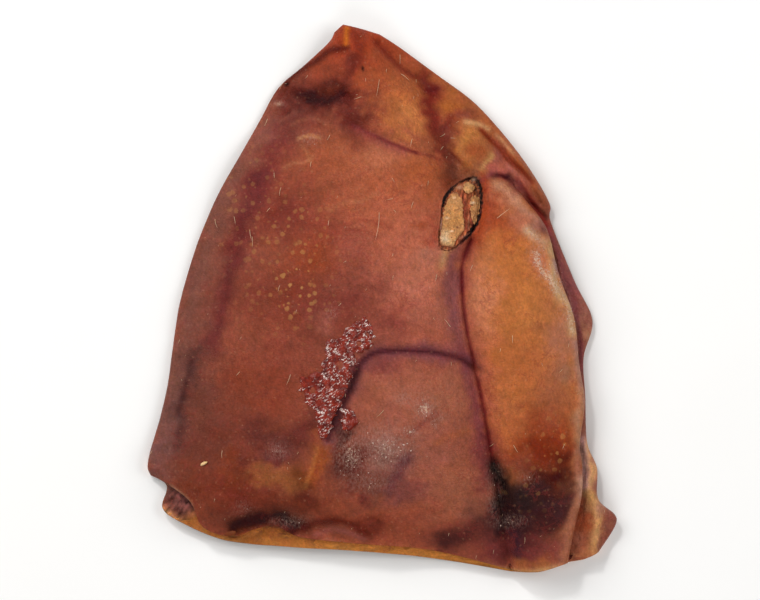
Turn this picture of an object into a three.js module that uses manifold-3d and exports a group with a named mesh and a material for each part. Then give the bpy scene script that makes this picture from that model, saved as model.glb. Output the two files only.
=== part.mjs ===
// A dried pig ear lying flat with its outer side up. It is one leathery sheet, skin on gristle on skin,
// arched over a shallow hollow. The right side is folded over itself into a pleat, and the base, where
// the ear was cut off, is an open cut face with a mouth at its left end.
// Millimetres, +Z up, the tip towards +Y and the cut base towards -Y. The origin is on the table under
// the middle of the outline.
import * as THREE from "three";
import { mergeVertices } from "three/addons/utils/BufferGeometryUtils.js";
import Module from "manifold-3d";

// Driving dimensions
const LENGTH = 165; // tip to base
const SHEET = 2.9; // single sheet, away from the base
const BASE_EXTRA = 3.2; // the sheet is this much thicker at the cut base
const PLEAT = 5.4; // two more layers under the folded band
const LIP_RADIUS = 1.9; // half the thickness of the band at its rolled lip
const CREVICE_GAP = 1.3; // between the lip and the layer under it
const UNDERCUT = 5.5; // how far the crevice runs in under the lip
const EDGE_RADIUS = 2.4; // width of the rounding of the free margins
const ARCH = 15; // height of the hollow under the ear
const SETTLE = 0.6; // the underside is pressed flat where it would be lower than this
const BASE_FROM = 10; // the sheet grows thicker from here, below the middle, to the base
const BASE_ROLL = 2.2; // the two skins draw together by this much at the cut edge
const LEAST_SHEET = 1.8; // thinnest place, under a crease
const MOUTH_DEPTH = 9; // the open mouth at the left end of the cut
const GROOVE_DEPTH = 2.4; // the cut face elsewhere, between the two skins
const DEEPER_GROOVE = 0.6; // share added to it right of the mouth

// Mesh counts
const ROWS = 45; // from tip to base
const BLADE_COLUMNS = 22; // left margin to main crease
const BAND_COLUMNS = 12; // main crease to lip
const STRIP_COLUMNS = 6; // crevice to right margin
const UNDER_BLADE_COLUMNS = BLADE_COLUMNS + 2; // the underside, left margin to main crease
const CUT_ROWS = 5; // down the cut face
const ARC_SEGMENTS = 24; // round the wound and its plates
const CROWDING = { // how strongly rows and columns crowd at their start and end
  rows: [1.45, 1.1],
  blade: [1.7, 1.3],
  band: [1.2, 1.8],
  strip: [1, 1.7],
  underBlade: [1.7, 1.1],
  underBand: [1, 1.6],
};

// Places below are in percent of the length, from the middle of the outline, [across, along].
const PERCENT = LENGTH / 100;
const place = ([across, along]) => new THREE.Vector2(across * PERCENT, along * PERCENT);
const curve = (points) => new THREE.SplineCurve(points.map(place));

// Stations from the tip to the base: [left margin, main crease, lip of the band, right margin]
const STATIONS = [
  [[-8.6, 48.6], [-7.0, 50.0], [-3.2, 49.1], [-0.3, 48.2]],
  [[-9.7, 46.7], [-3.6, 45.3], [1.7, 44.5], [3.6, 45.7]],
  [[-14.1, 42.7], [1.2, 40.2], [8.1, 39.4], [10.5, 40.7]],
  [[-18.9, 38.5], [7.6, 34.7], [14.5, 34.3], [16.8, 36.0]],
  [[-22.3, 32.5], [11.5, 28.0], [19.0, 28.5], [22.1, 30.3]],
  [[-25.8, 26.3], [15.8, 22.6], [22.6, 22.3], [27.0, 23.8]],
  [[-29.8, 19.2], [17.8, 17.0], [26.3, 17.9], [30.7, 17.4]],
  [[-33.1, 11.7], [16.0, 9.9], [30.0, 12.8], [31.0, 13.9]],
  [[-35.4, 4.8], [14.7, 2.5], [32.3, 4.3], [35.2, 3.4]],
  [[-37.1, -1.7], [15.4, -4.8], [35.1, -3.6], [38.6, -4.0]],
  [[-38.2, -9.0], [16.8, -11.6], [36.0, -11.6], [37.0, -10.8]],
  [[-39.1, -15.6], [18.3, -18.5], [37.0, -18.9], [37.3, -18.1]],
  [[-40.3, -21.0], [19.6, -25.8], [36.1, -26.3], [37.6, -26.3]],
  [[-41.3, -24.5], [20.5, -30.4], [36.5, -30.4], [39.4, -31.0]],
  [[-42.4, -28.2], [21.4, -35.8], [36.4, -35.8], [39.6, -36.6]],
  [[-42.8, -30.8], [22.6, -42.6], [35.1, -41.9], [43.0, -40.4]],
  [[-42.3, -32.3], [23.8, -49.6], [33.9, -48.1], [39.8, -46.2]],
];
const guides = [0, 1, 2, 3].map((side) => curve(STATIONS.map((station) => station[side])));

// The cut edge of the upper skin and of the lower one, from the left margin to the main crease, and
// on from there to the right margin
const UPPER_CUT = [
  curve([
    [-42.3, -32.3], [-39.6, -33.6], [-34.9, -36.9], [-32.5, -41.6], [-27.2, -43.4], [-23.2, -42.0],
    [-19.4, -41.3], [-14.8, -43.4], [-5.7, -44.5], [8.8, -45.8], [23.8, -49.6],
  ]),
  curve([[23.8, -49.6], [29.1, -49.6], [33.9, -48.1], [37.4, -47.4], [39.8, -46.2]]),
];
const LOWER_CUT = [
  curve([
    [-42.3, -32.3], [-39.3, -34.3], [-40.0, -38.4], [-36.0, -41.2], [-29.6, -43.9], [-24.2, -44.8],
    [-19.0, -45.2], [-13.4, -45.6], [-4.6, -46.1], [8.5, -47.4], [23.8, -50.0],
  ]),
  curve([[23.8, -50.0], [29.1, -50.1], [33.9, -48.4], [37.4, -47.7], [39.8, -46.2]]),
];
const CUT_REACH = 0.33; // share of the rows that bend from straight to the cut edge

// Where things start and end, as shares of the rows from the tip to the base
const PLEAT_FILLS = [0.17, 0.38];
const CREVICE_OPENS = [0.29, 0.44];
const SKINS_ROLL = [0.93, 1];
// The same across, in columns: the rise of the inner fold, and of the band from the main crease
const INNER_FOLD = [0.88, 1.02];
const BAND_RISE = 0.42;

// Stretches of the cut face, as shares of its width: starts, full, ends being full, ends
const MOUTH_STRETCH = [0, 0.06, 0.1, 0.2];
const DEEPER_STRETCH = [0.1, 0.2, 0.34, 0.5];
const GROOVE_STRETCH = [0, 0.05, 0.9, 1];
const CUT_ROUNDNESS = 0.8; // below 1 the cut face is hollowed with a flatter floor

// Creases: a furrow along a line, with its depth and half width in mm
const CREASES = [
  { line: curve([[16.4, 10.6], [14.8, 6.6], [14.7, 1.5], [15.4, -4.8], [16.8, -11.6], [18.3, -18.5],
    [19.6, -25.8], [21.0, -33.1], [22.9, -41.4]]), depth: 2.3, width: 1.9 }, // main crease
  { line: curve([[17.6, 20.5], [18.2, 16.4], [16.4, 10.6]]), depth: 0.8, width: 1.5 }, // past the wound
  { line: curve([[14.9, 5.0], [15.1, -3.0], [18.3, -18.5], [21.0, -33.1]]), depth: 1.3, width: 7 },
  { line: curve([[17.6, -13.0], [13.9, -10.8], [8.8, -9.7], [3.4, -9.6], [-0.6, -10.3], [-3.4, -12.5],
    [-5.2, -16.7], [-7.4, -21.8], [-9.0, -25.8]]), depth: 2.3, width: 1.8 }, // arc round the shoulder
  { line: curve([[-17.6, 37.4], [-13.9, 36.3], [-9.4, 36.0], [-6.5, 35.2]]), depth: 2.2, width: 3 },
  { line: curve([[-7.6, 32.9], [-2.1, 30.0], [3.4, 28.3], [9.6, 25.6]]), depth: 0.7, width: 1.6 },
  { line: curve([[7.7, 39.1], [9.2, 34.3], [10.7, 28.9], [12.1, 23.0]]), depth: 1.7, width: 3.6 },
  { line: curve([[17.6, 32.9], [21.6, 27.0], [25.2, 21.2]]), depth: 1.2, width: 1.8 }, // above the lip
  { line: curve([[-23.6, 22.5], [-27.2, 8.8], [-30.9, -5.7], [-34.5, -17.6], [-37.1, -27.6]]),
    depth: 1.0, width: 4.4 }, // along the left margin
  { line: curve([[-27.2, -41.4], [-21.8, -39.0], [-14.8, -41.0], [-6.6, -43.2]]), depth: 1.2, width: 2.4 },
  { line: curve([[21.6, -34.0], [22.9, -39.4], [23.8, -46.8]]), depth: 1.8, width: 3 },
];
const BEND = 0.6; // the share of a crease that shows on the underside too

// Swellings: middle, radii in mm and height in mm, below 0 for a dip
const SWELLINGS = [
  { at: [5.6, -25.8], radii: [20, 28], height: 2.8 }, // shoulder inside the arc
  { at: [-5.4, 43.4], radii: [5, 15], height: 1.3 }, // ridge at the tip
  { at: [2.5, 33.4], radii: [13, 17], height: 1.3 },
  { at: [16.1, 31.1], radii: [7, 11], height: 1.5 },
  { at: [-14.8, -0.3], radii: [34, 50], height: 1.6 }, // belly of the blade
  { at: [-33.1, -36.3], radii: [17, 13], height: 1.8 },
  { at: [-7.6, -12.1], radii: [8, 14], height: 0.8 }, // under the glossy crust
  { at: [27.5, 0.5], radii: [14, 44], height: 1.8 }, // crown of the band
  { at: [28.6, -35.3], radii: [13, 14], height: 1.4 },
  { at: [41.8, -41.6], radii: [6, 12], height: -1.8 }, // lowest layer, at the lower right corner
];

// The tan rim of the middle layer, a low ridge on the strip at the lower right
const RIM = {
  line: curve([[37.4, -26.7], [38.0, -30.9], [37.6, -34.5], [38.9, -37.6], [39.2, -42.2], [38.6, -46.3]]),
  depth: -1.2,
  width: 1.3,
};

// The underside: the hollow, its middle along the length and half its length in mm, and how round
// it is across and along; and lifts of the margins and of the base off the table
const HOLLOW = { middle: 0, reach: 83, across: 1.25, along: 0.8 };
const LIFTS = [
  { at: [-4, 50], radii: [28, 30], height: 4 }, // the tip curls up
  { at: [-27, 21], radii: [20, 24], height: 1.8 },
  { at: [-5, -46], radii: [38, 26], height: 2 },
  { at: [32, 7], radii: [18, 22], height: 2.4 },
  { at: [42, -38], radii: [14, 16], height: 1.8 },
];
const FOLD_SHARE = 0.45; // how much of the arch the inner fold of the pleat fills

// Unevenness of the skin: two slanting waves, with their height and their length across and along in mm
const WAVES = [
  { height: 0.3, across: 6.1, along: 17 },
  { height: 0.3, across: -13, along: 7.3 },
];

// The wound: an oval cut through the skin, at a column and row of the sheet, with the ends of two
// plates of gristle and a plug in it. The sheet is thicker round it.
const WOUND = { at: [14.0, 15.4], column: 0.93, row: 0.38, radii: [5.3, 11.6], tilt: -22, depth: 1.8 };
const WOUND_BLOCK = { at: WOUND.at, radii: [13, 19], height: 3 };
const WOUND_SLOPE = [-0.4, -0.12]; // its floor rises by this for each mm across and along, as the skin does
const BORE_HEIGHT = 16; // long enough to come out above the skin
const BORE_TAPER = 0.94;
const PLATE_HALF_HEIGHT = 1.6;
const PLATES = [
  { at: [12.9, 14.3], radii: [2.8, 7.6], tilt: -12, sunk: 0.5 },
  { at: [15.6, 19.9], radii: [1.9, 1.9], tilt: 0, sunk: 0.6 },
  { at: [16.7, 16.6], radii: [1.3, 3.9], tilt: -14, sunk: 0.8 },
];

const mix = THREE.MathUtils.lerp;
const rise = (x, from, to) => THREE.MathUtils.smoothstep(x, from, to);

// Even steps crowded towards both ends; a higher power crowds more
const crowd = (s, start, end) => mix(s ** start, 1 - (1 - s) ** end, s);

// Distance from a point to a curve, along short chords
function distance(point, line) {
  line.chords ??= line.getPoints(8 * (line.points.length - 1));
  let nearest = Infinity;
  for (let i = 1; i < line.chords.length; i++) {
    const from = line.chords[i - 1];
    const along = line.chords[i].clone().sub(from);
    const reach = point.clone().sub(from);
    const share = THREE.MathUtils.clamp(reach.dot(along) / along.lengthSq(), 0, 1);
    nearest = Math.min(nearest, reach.distanceTo(along.multiplyScalar(share)));
  }
  return nearest;
}

const furrow = (point, { line, depth, width }) => -depth * Math.exp(-((distance(point, line) / width) ** 2));

function swell(point, { at, radii, height, power = 2 }) {
  const offset = point.clone().sub(place(at));
  const r2 = (offset.x / radii[0]) ** 2 + (offset.y / radii[1]) ** 2;
  return r2 < 1 ? height * (1 - r2) ** power : 0;
}

const sum = (list, f) => list.reduce((total, item) => total + f(item), 0);

// From the tip down: how far the pleat has filled out under the band, and its crevice has opened
const fullness = (v) => rise(v, ...PLEAT_FILLS);
const opening = (v) => rise(v, ...CREVICE_OPENS);

// Across: the band rises steeply from the main crease and levels off
function pillow(c) {
  const share = THREE.MathUtils.clamp((c - 1) / BAND_RISE, 0, 1);
  return share * (2 - share);
}

// Plan position: c runs 0 at the left margin, 1 at the main crease, 2 at the lip, 3 at the right margin
function plan(c, v, cut) {
  const k = THREE.MathUtils.clamp(Math.floor(c), 0, 2);
  const straight = (w) => guides[k].getPoint(w).lerp(guides[k + 1].getPoint(w), c - k);
  const edge = c < 1 ? cut[0].getPoint(c) : cut[1].getPoint((c - 1) / 2);
  const bend = edge.sub(straight(1));
  return straight(v).add(bend.multiplyScalar(Math.max(0, 1 - (1 - v) / CUT_REACH) ** 2));
}

// Widths of a row between two guides, and from the left margin to a column, up to the lip
const spread = (v, k) => guides[k].getPoint(v).distanceTo(guides[k + 1].getPoint(v));
const fromLeft = (c, v) => Math.min(c, 1) * spread(v, 0) + THREE.MathUtils.clamp(c - 1, 0, 1) * spread(v, 1);

// Height of the hollow, an arch from the left margin to the lip
function hollow(c, v, point) {
  const share = fromLeft(c, v) / fromLeft(2, v);
  const along = (point.y - HOLLOW.middle) / HOLLOW.reach;
  const across = (4 * share * (1 - share)) ** HOLLOW.across;
  return ARCH * across * Math.max(0, 1 - along ** 2) ** HOLLOW.along;
}

// Heights of the underside and the upper side at a place. Right of the lip the upper side drops to
// the layer under the band.
function sheet(c, v, point) {
  const folded = 1 - FOLD_SHARE * opening(v) * rise(c, ...INNER_FOLD);
  const arch = hollow(c, v, point);
  const lifts = sum(LIFTS, (lift) => swell(point, lift)) - SETTLE;
  const creases = sum(CREASES, (crease) => furrow(point, crease));
  const low = Math.max(0, arch * folded + lifts + BEND * creases - swell(point, WOUND_BLOCK));
  const waves = sum(WAVES, (wave) => wave.height * Math.sin(point.x / wave.across + point.y / wave.along));
  const pleat = PLEAT * fullness(v) * pillow(c);
  const strip = c < 2 ? 0 : furrow(point, RIM) - opening(v) * (2 * LIP_RADIUS + CREVICE_GAP);
  const rolled = BASE_ROLL * rise(v, ...SKINS_ROLL) * (1 - 0.5 * rise(c, 1, 2));
  const thick = SHEET + BASE_EXTRA * rise(-point.y, BASE_FROM, LENGTH / 2) + pleat + strip - rolled;
  const relief = creases + sum(SWELLINGS, (s) => swell(point, s)) + waves;
  return [low, Math.max(low + LEAST_SHEET, Math.max(0, arch + lifts) + thick + relief)];
}

// 0 at a free margin, 1 away from it, as a quarter circle
function rounding(c, v, point, cut) {
  const left = fromLeft(c, v);
  const right = Math.max(0, 2 - c) * spread(v, 1) + Math.min(1, 3 - c) * spread(v, 2);
  const tip = point.distanceTo(plan(c, 0, cut));
  const round = (d) => Math.sqrt(1 - (1 - Math.min(1, d / EDGE_RADIUS)) ** 2);
  return round(left) * round(right) * round(tip);
}

// A point of the upper side. The band's own edge is rounded down to the lip.
function upperPoint(c, v) {
  const point = plan(c, v, UPPER_CUT);
  const [low, high] = sheet(c, v, point);
  const lip = Math.max(0, 1 - ((2 - c) * spread(v, 1)) / LIP_RADIUS);
  const curl = c < 2 ? opening(v) * LIP_RADIUS * (1 - Math.sqrt(1 - lip ** 2)) : 0;
  const edge = ((1 - rounding(c, v, point, UPPER_CUT)) * (high - low)) / 2;
  return new THREE.Vector3(point.x, point.y, high - edge - curl);
}

function underPoint(c, v) {
  const point = plan(c, v, LOWER_CUT);
  const [low, high] = sheet(c, v, point);
  const edge = ((1 - rounding(c, v, point, LOWER_CUT)) * (high - low)) / 2;
  return new THREE.Vector3(point.x, point.y, low + edge);
}

// The lip's underside and the crevice: steps in from the lip, and down from its middle, in mm
const CREVICE = [
  { inwards: 0.35 * LIP_RADIUS, down: 0.8 * LIP_RADIUS },
  { inwards: 1.1 * LIP_RADIUS, down: LIP_RADIUS },
  { inwards: UNDERCUT, down: LIP_RADIUS + 0.5 * CREVICE_GAP },
  { inwards: 0.55 * UNDERCUT, down: LIP_RADIUS + CREVICE_GAP },
];
const LIP = 1.9999; // just short of the lip, on the band's side
const FLAT_STEP = 0.1; // where the pleat is shut the columns of the crevice lie side by side

function crevicePoint(index, v) {
  const { inwards, down } = CREVICE[index];
  const flat = upperPoint(2 + FLAT_STEP * (index + 1), v);
  const folded = plan(2 - inwards / spread(v, 1), v, UPPER_CUT);
  const deep = new THREE.Vector3(folded.x, folded.y, upperPoint(LIP, v).z - down);
  return flat.lerp(deep, opening(v));
}

// The upper side of one row, from the left margin to the right margin
function upperRow(v) {
  const row = [];
  for (let i = 0; i < BLADE_COLUMNS; i++) {
    row.push(upperPoint(crowd(i / BLADE_COLUMNS, ...CROWDING.blade), v));
  }
  for (let i = 0; i < BAND_COLUMNS; i++) {
    row.push(upperPoint(1 + crowd(i / BAND_COLUMNS, ...CROWDING.band), v));
  }
  row.push(upperPoint(LIP, v));
  CREVICE.forEach((_, index) => row.push(crevicePoint(index, v)));
  const first = 2 + (1 - opening(v)) * FLAT_STEP * (CREVICE.length + 1);
  for (let i = 0; i <= STRIP_COLUMNS; i++) {
    row.push(upperPoint(mix(first, 3, crowd(i / STRIP_COLUMNS, ...CROWDING.strip)), v));
  }
  return row;
}

// The underside of one row, with as many points, left to right
function underRow(v, count) {
  return Array.from({ length: count }, (_, i) => {
    const blade = crowd(i / UNDER_BLADE_COLUMNS, ...CROWDING.underBlade);
    const rest = (i - UNDER_BLADE_COLUMNS) / (count - 1 - UNDER_BLADE_COLUMNS);
    return underPoint(rest < 0 ? blade : 1 + 2 * crowd(rest, ...CROWDING.underBand), v);
  });
}

// 1 between two places of the cut's width, fading to 0 before and after them
const stretch = (x, [from, full, until, to]) => rise(x, from, full) * (1 - rise(x, until, to));

// Depth of the cut face from the left margin at 0 to the right margin at 1
function cutDepth(across) {
  const groove = GROOVE_DEPTH * (1 + DEEPER_GROOVE * stretch(across, DEEPER_STRETCH));
  return mix(groove * stretch(across, GROOVE_STRETCH), MOUTH_DEPTH, stretch(across, MOUTH_STRETCH));
}

// The cut face: from the upper skin down to the lower one, pushed in between them
function cutFace(upper, lower, inner) {
  const left = upper[0].x;
  const width = upper.at(-1).x - left;
  return Array.from({ length: CUT_ROWS + 1 }, (_, r) =>
    upper.map((top, i) => {
      const inwards = inner[i].clone().sub(top).setZ(0).normalize();
      const depth = cutDepth((top.x - left) / width) * Math.sin((Math.PI * r) / CUT_ROWS) ** CUT_ROUNDNESS;
      return top.clone().lerp(lower[i], r / CUT_ROWS).addScaledVector(inwards, depth);
    }),
  );
}

// The ear as one closed mesh: upper side, underside and cut face. Both sides share the margins and
// the tip.
function earGeometry() {
  const rows = Array.from({ length: ROWS + 1 }, (_, j) => crowd(j / ROWS, ...CROWDING.rows));
  const upper = rows.map(upperRow);
  const last = upper[0].length - 1;
  const lower = rows.map((v, j) => {
    const row = underRow(v, last + 1);
    row[0] = upper[j][0];
    row[last] = upper[j][last];
    return row;
  });
  lower[0] = upper[0];
  const cut = cutFace(upper[ROWS], lower[ROWS], upper[ROWS - 3]);

  const corners = [];
  const quads = (grid, facesUp) => {
    for (let j = 1; j < grid.length; j++) {
      for (let i = 1; i <= last; i++) {
        const [a, b, c, d] = [grid[j - 1][i - 1], grid[j - 1][i], grid[j][i], grid[j][i - 1]];
        corners.push(...(facesUp ? [a, c, b, a, d, c] : [a, b, c, a, c, d]));
      }
    }
  };
  quads(upper, true);
  quads(lower, false);
  quads(cut, true);
  return new THREE.BufferGeometry().setFromPoints(corners);
}

const wasm = await Module();
wasm.setup();

// Welds the corners of a geometry and makes it a solid
function solid(geometry) {
  const bare = new THREE.BufferGeometry().setAttribute("position", geometry.getAttribute("position"));
  bare.setIndex(geometry.index);
  const merged = mergeVertices(bare, 1e-3);
  const triVerts = [];
  for (let i = 0; i < merged.index.count; i += 3) {
    const corners = [0, 1, 2].map((k) => merged.index.getX(i + k));
    if (new Set(corners).size === 3) triVerts.push(...corners);
  }
  const vertProperties = merged.attributes.position.array;
  const mesh = new wasm.Mesh({ numProp: 3, vertProperties, triVerts: new Uint32Array(triVerts) });
  return new wasm.Manifold(mesh);
}

function geometryOf(made) {
  const mesh = made.getMesh();
  const geometry = new THREE.BufferGeometry();
  geometry.setAttribute("position", new THREE.BufferAttribute(new Float32Array(mesh.vertProperties), 3));
  geometry.setIndex(new THREE.BufferAttribute(new Uint32Array(mesh.triVerts), 1));
  geometry.computeVertexNormals();
  return geometry;
}

// Height of the skin at the middle of the wound, which lies just left of the main crease
const WOUND_LEVEL = sheet(WOUND.column, WOUND.row, place(WOUND.at))[1];

// Makes a round upright piece an oval, turns it and sets it in the wound at a height above the skin's
// level. It slants as the skin does there.
function inWound(geometry, { at, radii, tilt }, thickness, height) {
  const middle = place(WOUND.at);
  const offset = place(at).sub(middle);
  const slant = new THREE.Matrix4().makeShear(0, WOUND_SLOPE[0], 0, WOUND_SLOPE[1], 0, 0);
  geometry.rotateX(Math.PI / 2).scale(radii[0], radii[1], thickness).rotateZ(THREE.MathUtils.degToRad(tilt));
  geometry.translate(offset.x, offset.y, height).applyMatrix4(slant);
  return solid(geometry.translate(middle.x, middle.y, WOUND_LEVEL));
}

function woundBore() {
  const bore = new THREE.CylinderGeometry(1, BORE_TAPER, BORE_HEIGHT, ARC_SEGMENTS);
  return inWound(bore, WOUND, 1, BORE_HEIGHT / 2 - WOUND.depth);
}

// A low rounded cushion of gristle standing in the bore
function plate(item) {
  const cushion = new THREE.SphereGeometry(1, ARC_SEGMENTS / 2, ARC_SEGMENTS / 3);
  return inWound(cushion, item, PLATE_HALF_HEIGHT, -item.sunk - PLATE_HALF_HEIGHT);
}

const body = solid(earGeometry()).subtract(woundBore());
const whole = PLATES.reduce((joined, item) => joined.add(plate(item)), body);

const ear = new THREE.Mesh(
  geometryOf(whole),
  new THREE.MeshStandardMaterial({ color: 0x9c4f33, roughness: 0.5, metalness: 0 }),
);
ear.name = "ear";

const group = new THREE.Group();
group.add(ear);
export default group;
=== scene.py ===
"""A dried pig ear lying on a pale floor, outer side up, seen from straight above.

The ear is one closed skin worked out on a grid of rows (tip to base) and columns (left margin, main
crease, lip of the folded band, right margin). On it lie the wound with its gristle, the crust of dried
juice, crumbs of dried fat and short bristles.
"""

import functools
import math

import bpy
import numpy as np
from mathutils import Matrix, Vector


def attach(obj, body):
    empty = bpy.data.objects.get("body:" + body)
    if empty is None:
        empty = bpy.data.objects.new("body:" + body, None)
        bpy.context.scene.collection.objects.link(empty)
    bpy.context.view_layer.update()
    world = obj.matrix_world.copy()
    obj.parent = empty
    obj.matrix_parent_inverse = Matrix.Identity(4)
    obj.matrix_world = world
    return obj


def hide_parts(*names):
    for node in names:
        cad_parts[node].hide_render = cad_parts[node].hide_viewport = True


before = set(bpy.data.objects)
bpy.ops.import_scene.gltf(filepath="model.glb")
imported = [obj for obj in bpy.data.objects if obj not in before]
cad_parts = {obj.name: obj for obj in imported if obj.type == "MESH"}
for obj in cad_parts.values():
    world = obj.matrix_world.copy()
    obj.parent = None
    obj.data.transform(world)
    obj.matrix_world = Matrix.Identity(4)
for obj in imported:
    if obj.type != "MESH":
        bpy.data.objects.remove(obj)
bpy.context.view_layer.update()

bl_info = {
    "name": "Dried Pig Ear",
    "version": (1, 0, 0),
    "blender": (4, 5, 0),
    "location": "View3D > Sidebar > Ear",
    "description": "Builds a dried pig ear with its wound, gristle, crust and bristles on a pale floor",
    "category": "Object",
}

MM = 0.001
LENGTH = 165  # mm, tip to base
PERCENT = LENGTH / 100  # places are in percent of the length, [across, along] from the middle

# Driving dimensions in mm, as in the solid model of the ear
SHEET = 2.9  # single sheet, away from the base
BASE_EXTRA = 3.2  # thicker by this much at the cut base
BASE_FROM = 10  # the sheet grows thicker from here, below the middle
BASE_ROLL = 2.2  # the skins draw together at the cut edge
PLEAT = 5.4  # two more layers under the folded band
LIP_RADIUS = 1.9  # rounding of the band's folded edge
CREVICE_GAP = 1.3  # height of the open crevice under the lip
UNDERCUT = 5.5  # how far the crevice reaches in
EDGE_RADIUS = 2.4  # rounding of the free margins
ARCH = 15  # rise of the arch
SETTLE = 0.6  # the sheet sinks by this much, so that its edges lie on the floor
LEAST_SHEET = 1.8  # the sheet is nowhere thinner
MOUTH_DEPTH = 9  # how far the open mouth reaches in at the left end of the cut
GROOVE_DEPTH = 2.4  # the same for the groove along the rest of the cut

# Stations from the tip to the base: left margin, main crease, lip of the band, right margin
STATIONS = [
    [[-8.6, 48.6], [-7, 50], [-3.2, 49.1], [-0.3, 48.2]],
    [[-9.7, 46.7], [-3.6, 45.3], [1.7, 44.5], [3.6, 45.7]],
    [[-14.1, 42.7], [1.2, 40.2], [8.1, 39.4], [10.5, 40.7]],
    [[-18.9, 38.5], [7.6, 34.7], [14.5, 34.3], [16.8, 36]],
    [[-22.3, 32.5], [11.5, 28], [19, 28.5], [22.1, 30.3]],
    [[-25.8, 26.3], [15.8, 22.6], [22.6, 22.3], [27, 23.8]],
    [[-29.8, 19.2], [17.8, 17], [26.3, 17.9], [30.7, 17.4]],
    [[-33.1, 11.7], [16, 9.9], [30, 12.8], [31, 13.9]],
    [[-35.4, 4.8], [14.7, 2.5], [32.3, 4.3], [35.2, 3.4]],
    [[-37.1, -1.7], [15.4, -4.8], [35.1, -3.6], [38.6, -4]],
    [[-38.2, -9], [16.8, -11.6], [36, -11.6], [37, -10.8]],
    [[-39.1, -15.6], [18.3, -18.5], [37, -18.9], [37.3, -18.1]],
    [[-40.3, -21], [19.6, -25.8], [36.1, -26.3], [37.6, -26.3]],
    [[-41.3, -24.5], [20.5, -30.4], [36.5, -30.4], [39.4, -31]],
    [[-42.4, -28.2], [21.4, -35.8], [36.4, -35.8], [39.6, -36.6]],
    [[-42.8, -30.8], [22.6, -42.6], [35.1, -41.9], [43, -40.4]],
    [[-42.3, -32.3], [23.8, -49.6], [33.9, -48.1], [39.8, -46.2]],
]
GUIDES = np.array(STATIONS).transpose(1, 0, 2)

# The cut edge of the upper skin and of the lower one: to the main crease, and on to the right margin
UPPER_CUT = (
    [[-42.3, -32.3], [-39.6, -33.6], [-34.9, -36.9], [-32.5, -41.6], [-27.2, -43.4], [-23.2, -42],
     [-19.4, -41.3], [-14.8, -43.4], [-5.7, -44.5], [8.8, -45.8], [23.8, -49.6]],
    [[23.8, -49.6], [29.1, -49.6], [33.9, -48.1], [37.4, -47.4], [39.8, -46.2]],
)
LOWER_CUT = (
    [[-42.3, -32.3], [-39.3, -34.3], [-40, -38.4], [-36, -41.2], [-29.6, -43.9], [-24.2, -44.8],
     [-19, -45.2], [-13.4, -45.6], [-4.6, -46.1], [8.5, -47.4], [23.8, -50]],
    [[23.8, -50], [29.1, -50.1], [33.9, -48.4], [37.4, -47.7], [39.8, -46.2]],
)
CUT_REACH = 0.33  # share of the rows that bend to the cut edge
ROLL_AT_BAND = 0.5  # share of BASE_ROLL that is missing at the band's cut edge
DEEPER_GROOVE = 0.6  # the groove is deeper by this share, left of the middle
BAND_RISE = 0.42  # share of the band over which the pleat rises
CUT_ROUNDNESS = 0.8  # how full the hollow of the cut face is: 1 is a plain sine
# Shares of the rows, of the columns or of the way across, between which a form comes in or goes out
PLEAT_FILLS = (0.17, 0.38)
CREVICE_OPENS = (0.29, 0.44)
SKINS_ROLL = (0.93, 1)
INNER_FOLD = (0.88, 1.02)
MOUTH_STRETCH = (0, 0.06, 0.1, 0.2)
DEEPER_STRETCH = (0.1, 0.2, 0.34, 0.5)
GROOVE_STRETCH = (0, 0.05, 0.9, 1)

MAIN_CREASE = [[16.4, 10.6], [14.8, 6.6], [14.7, 1.5], [15.4, -4.8], [16.8, -11.6], [18.3, -18.5],
               [19.6, -25.8], [21, -33.1], [22.9, -41.4]]
ARC_CREASE = [[17.6, -13], [13.9, -10.8], [8.8, -9.7], [3.4, -9.6], [-0.6, -10.3], [-3.4, -12.5],
              [-5.2, -16.7], [-7.4, -21.8], [-9, -25.8]]
ARC_LINE = [[17.6, -13], [13.9, -10.8], [8.8, -9.7], [3, -9.5], [-1.4, -9.9], [-4, -11.9], [-5, -14.4],
            [-6, -17], [-7.6, -19.8], [-9, -22.6], [-9.8, -25.4]]
THIN_LINE = [[-7.6, 32.9], [-2.1, 30], [3.4, 28.3], [9.6, 25.6]]
PUFF_FOLD = [[18.2, 30.8], [20, 29], [21.6, 27.4], [23.4, 25.2], [25.4, 23.4], [27.4, 21.2]]
PUFF_TOP = [[11.8, 31], [13.4, 32.8], [16, 33.8], [17, 33.4]]

# Creases: line, depth and half width in mm. A depth below 0 is a ridge
CREASES = [
    (MAIN_CREASE, 1.1, 1.5),
    ([[17.6, 20.5], [18.2, 16.4], [16.4, 10.6]], 0.8, 1.5),
    ([[14.9, 5], [15.1, -3], [18.3, -18.5], [21, -33.1]], 1.3, 7),
    (ARC_CREASE, 1, 1.5),
    ([[-17.6, 37.4], [-13.9, 36.3], [-9.4, 36], [-6.5, 35.2]], 0.9, 4),
    (THIN_LINE, 0.5, 1.4),
    ([[7.7, 39.1], [9.2, 34.3], [10.7, 28.9], [12.1, 23]], 1.7, 3.6),
    ([[17.6, 32.9], [21.6, 27], [25.2, 21.2]], 1.2, 1.8),
    ([[-23.6, 22.5], [-27.2, 8.8], [-30.9, -5.7], [-34.5, -17.6], [-37.1, -27.6]], 1, 4.4),
    ([[-27.2, -41.4], [-21.8, -39], [-14.8, -41], [-6.6, -43.2]], 1.2, 2.4),
    ([[21.6, -34], [22.9, -39.4], [23.8, -46.8]], 1.8, 3),
]
BEND = 0.6  # share of a crease that shows on the underside

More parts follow.
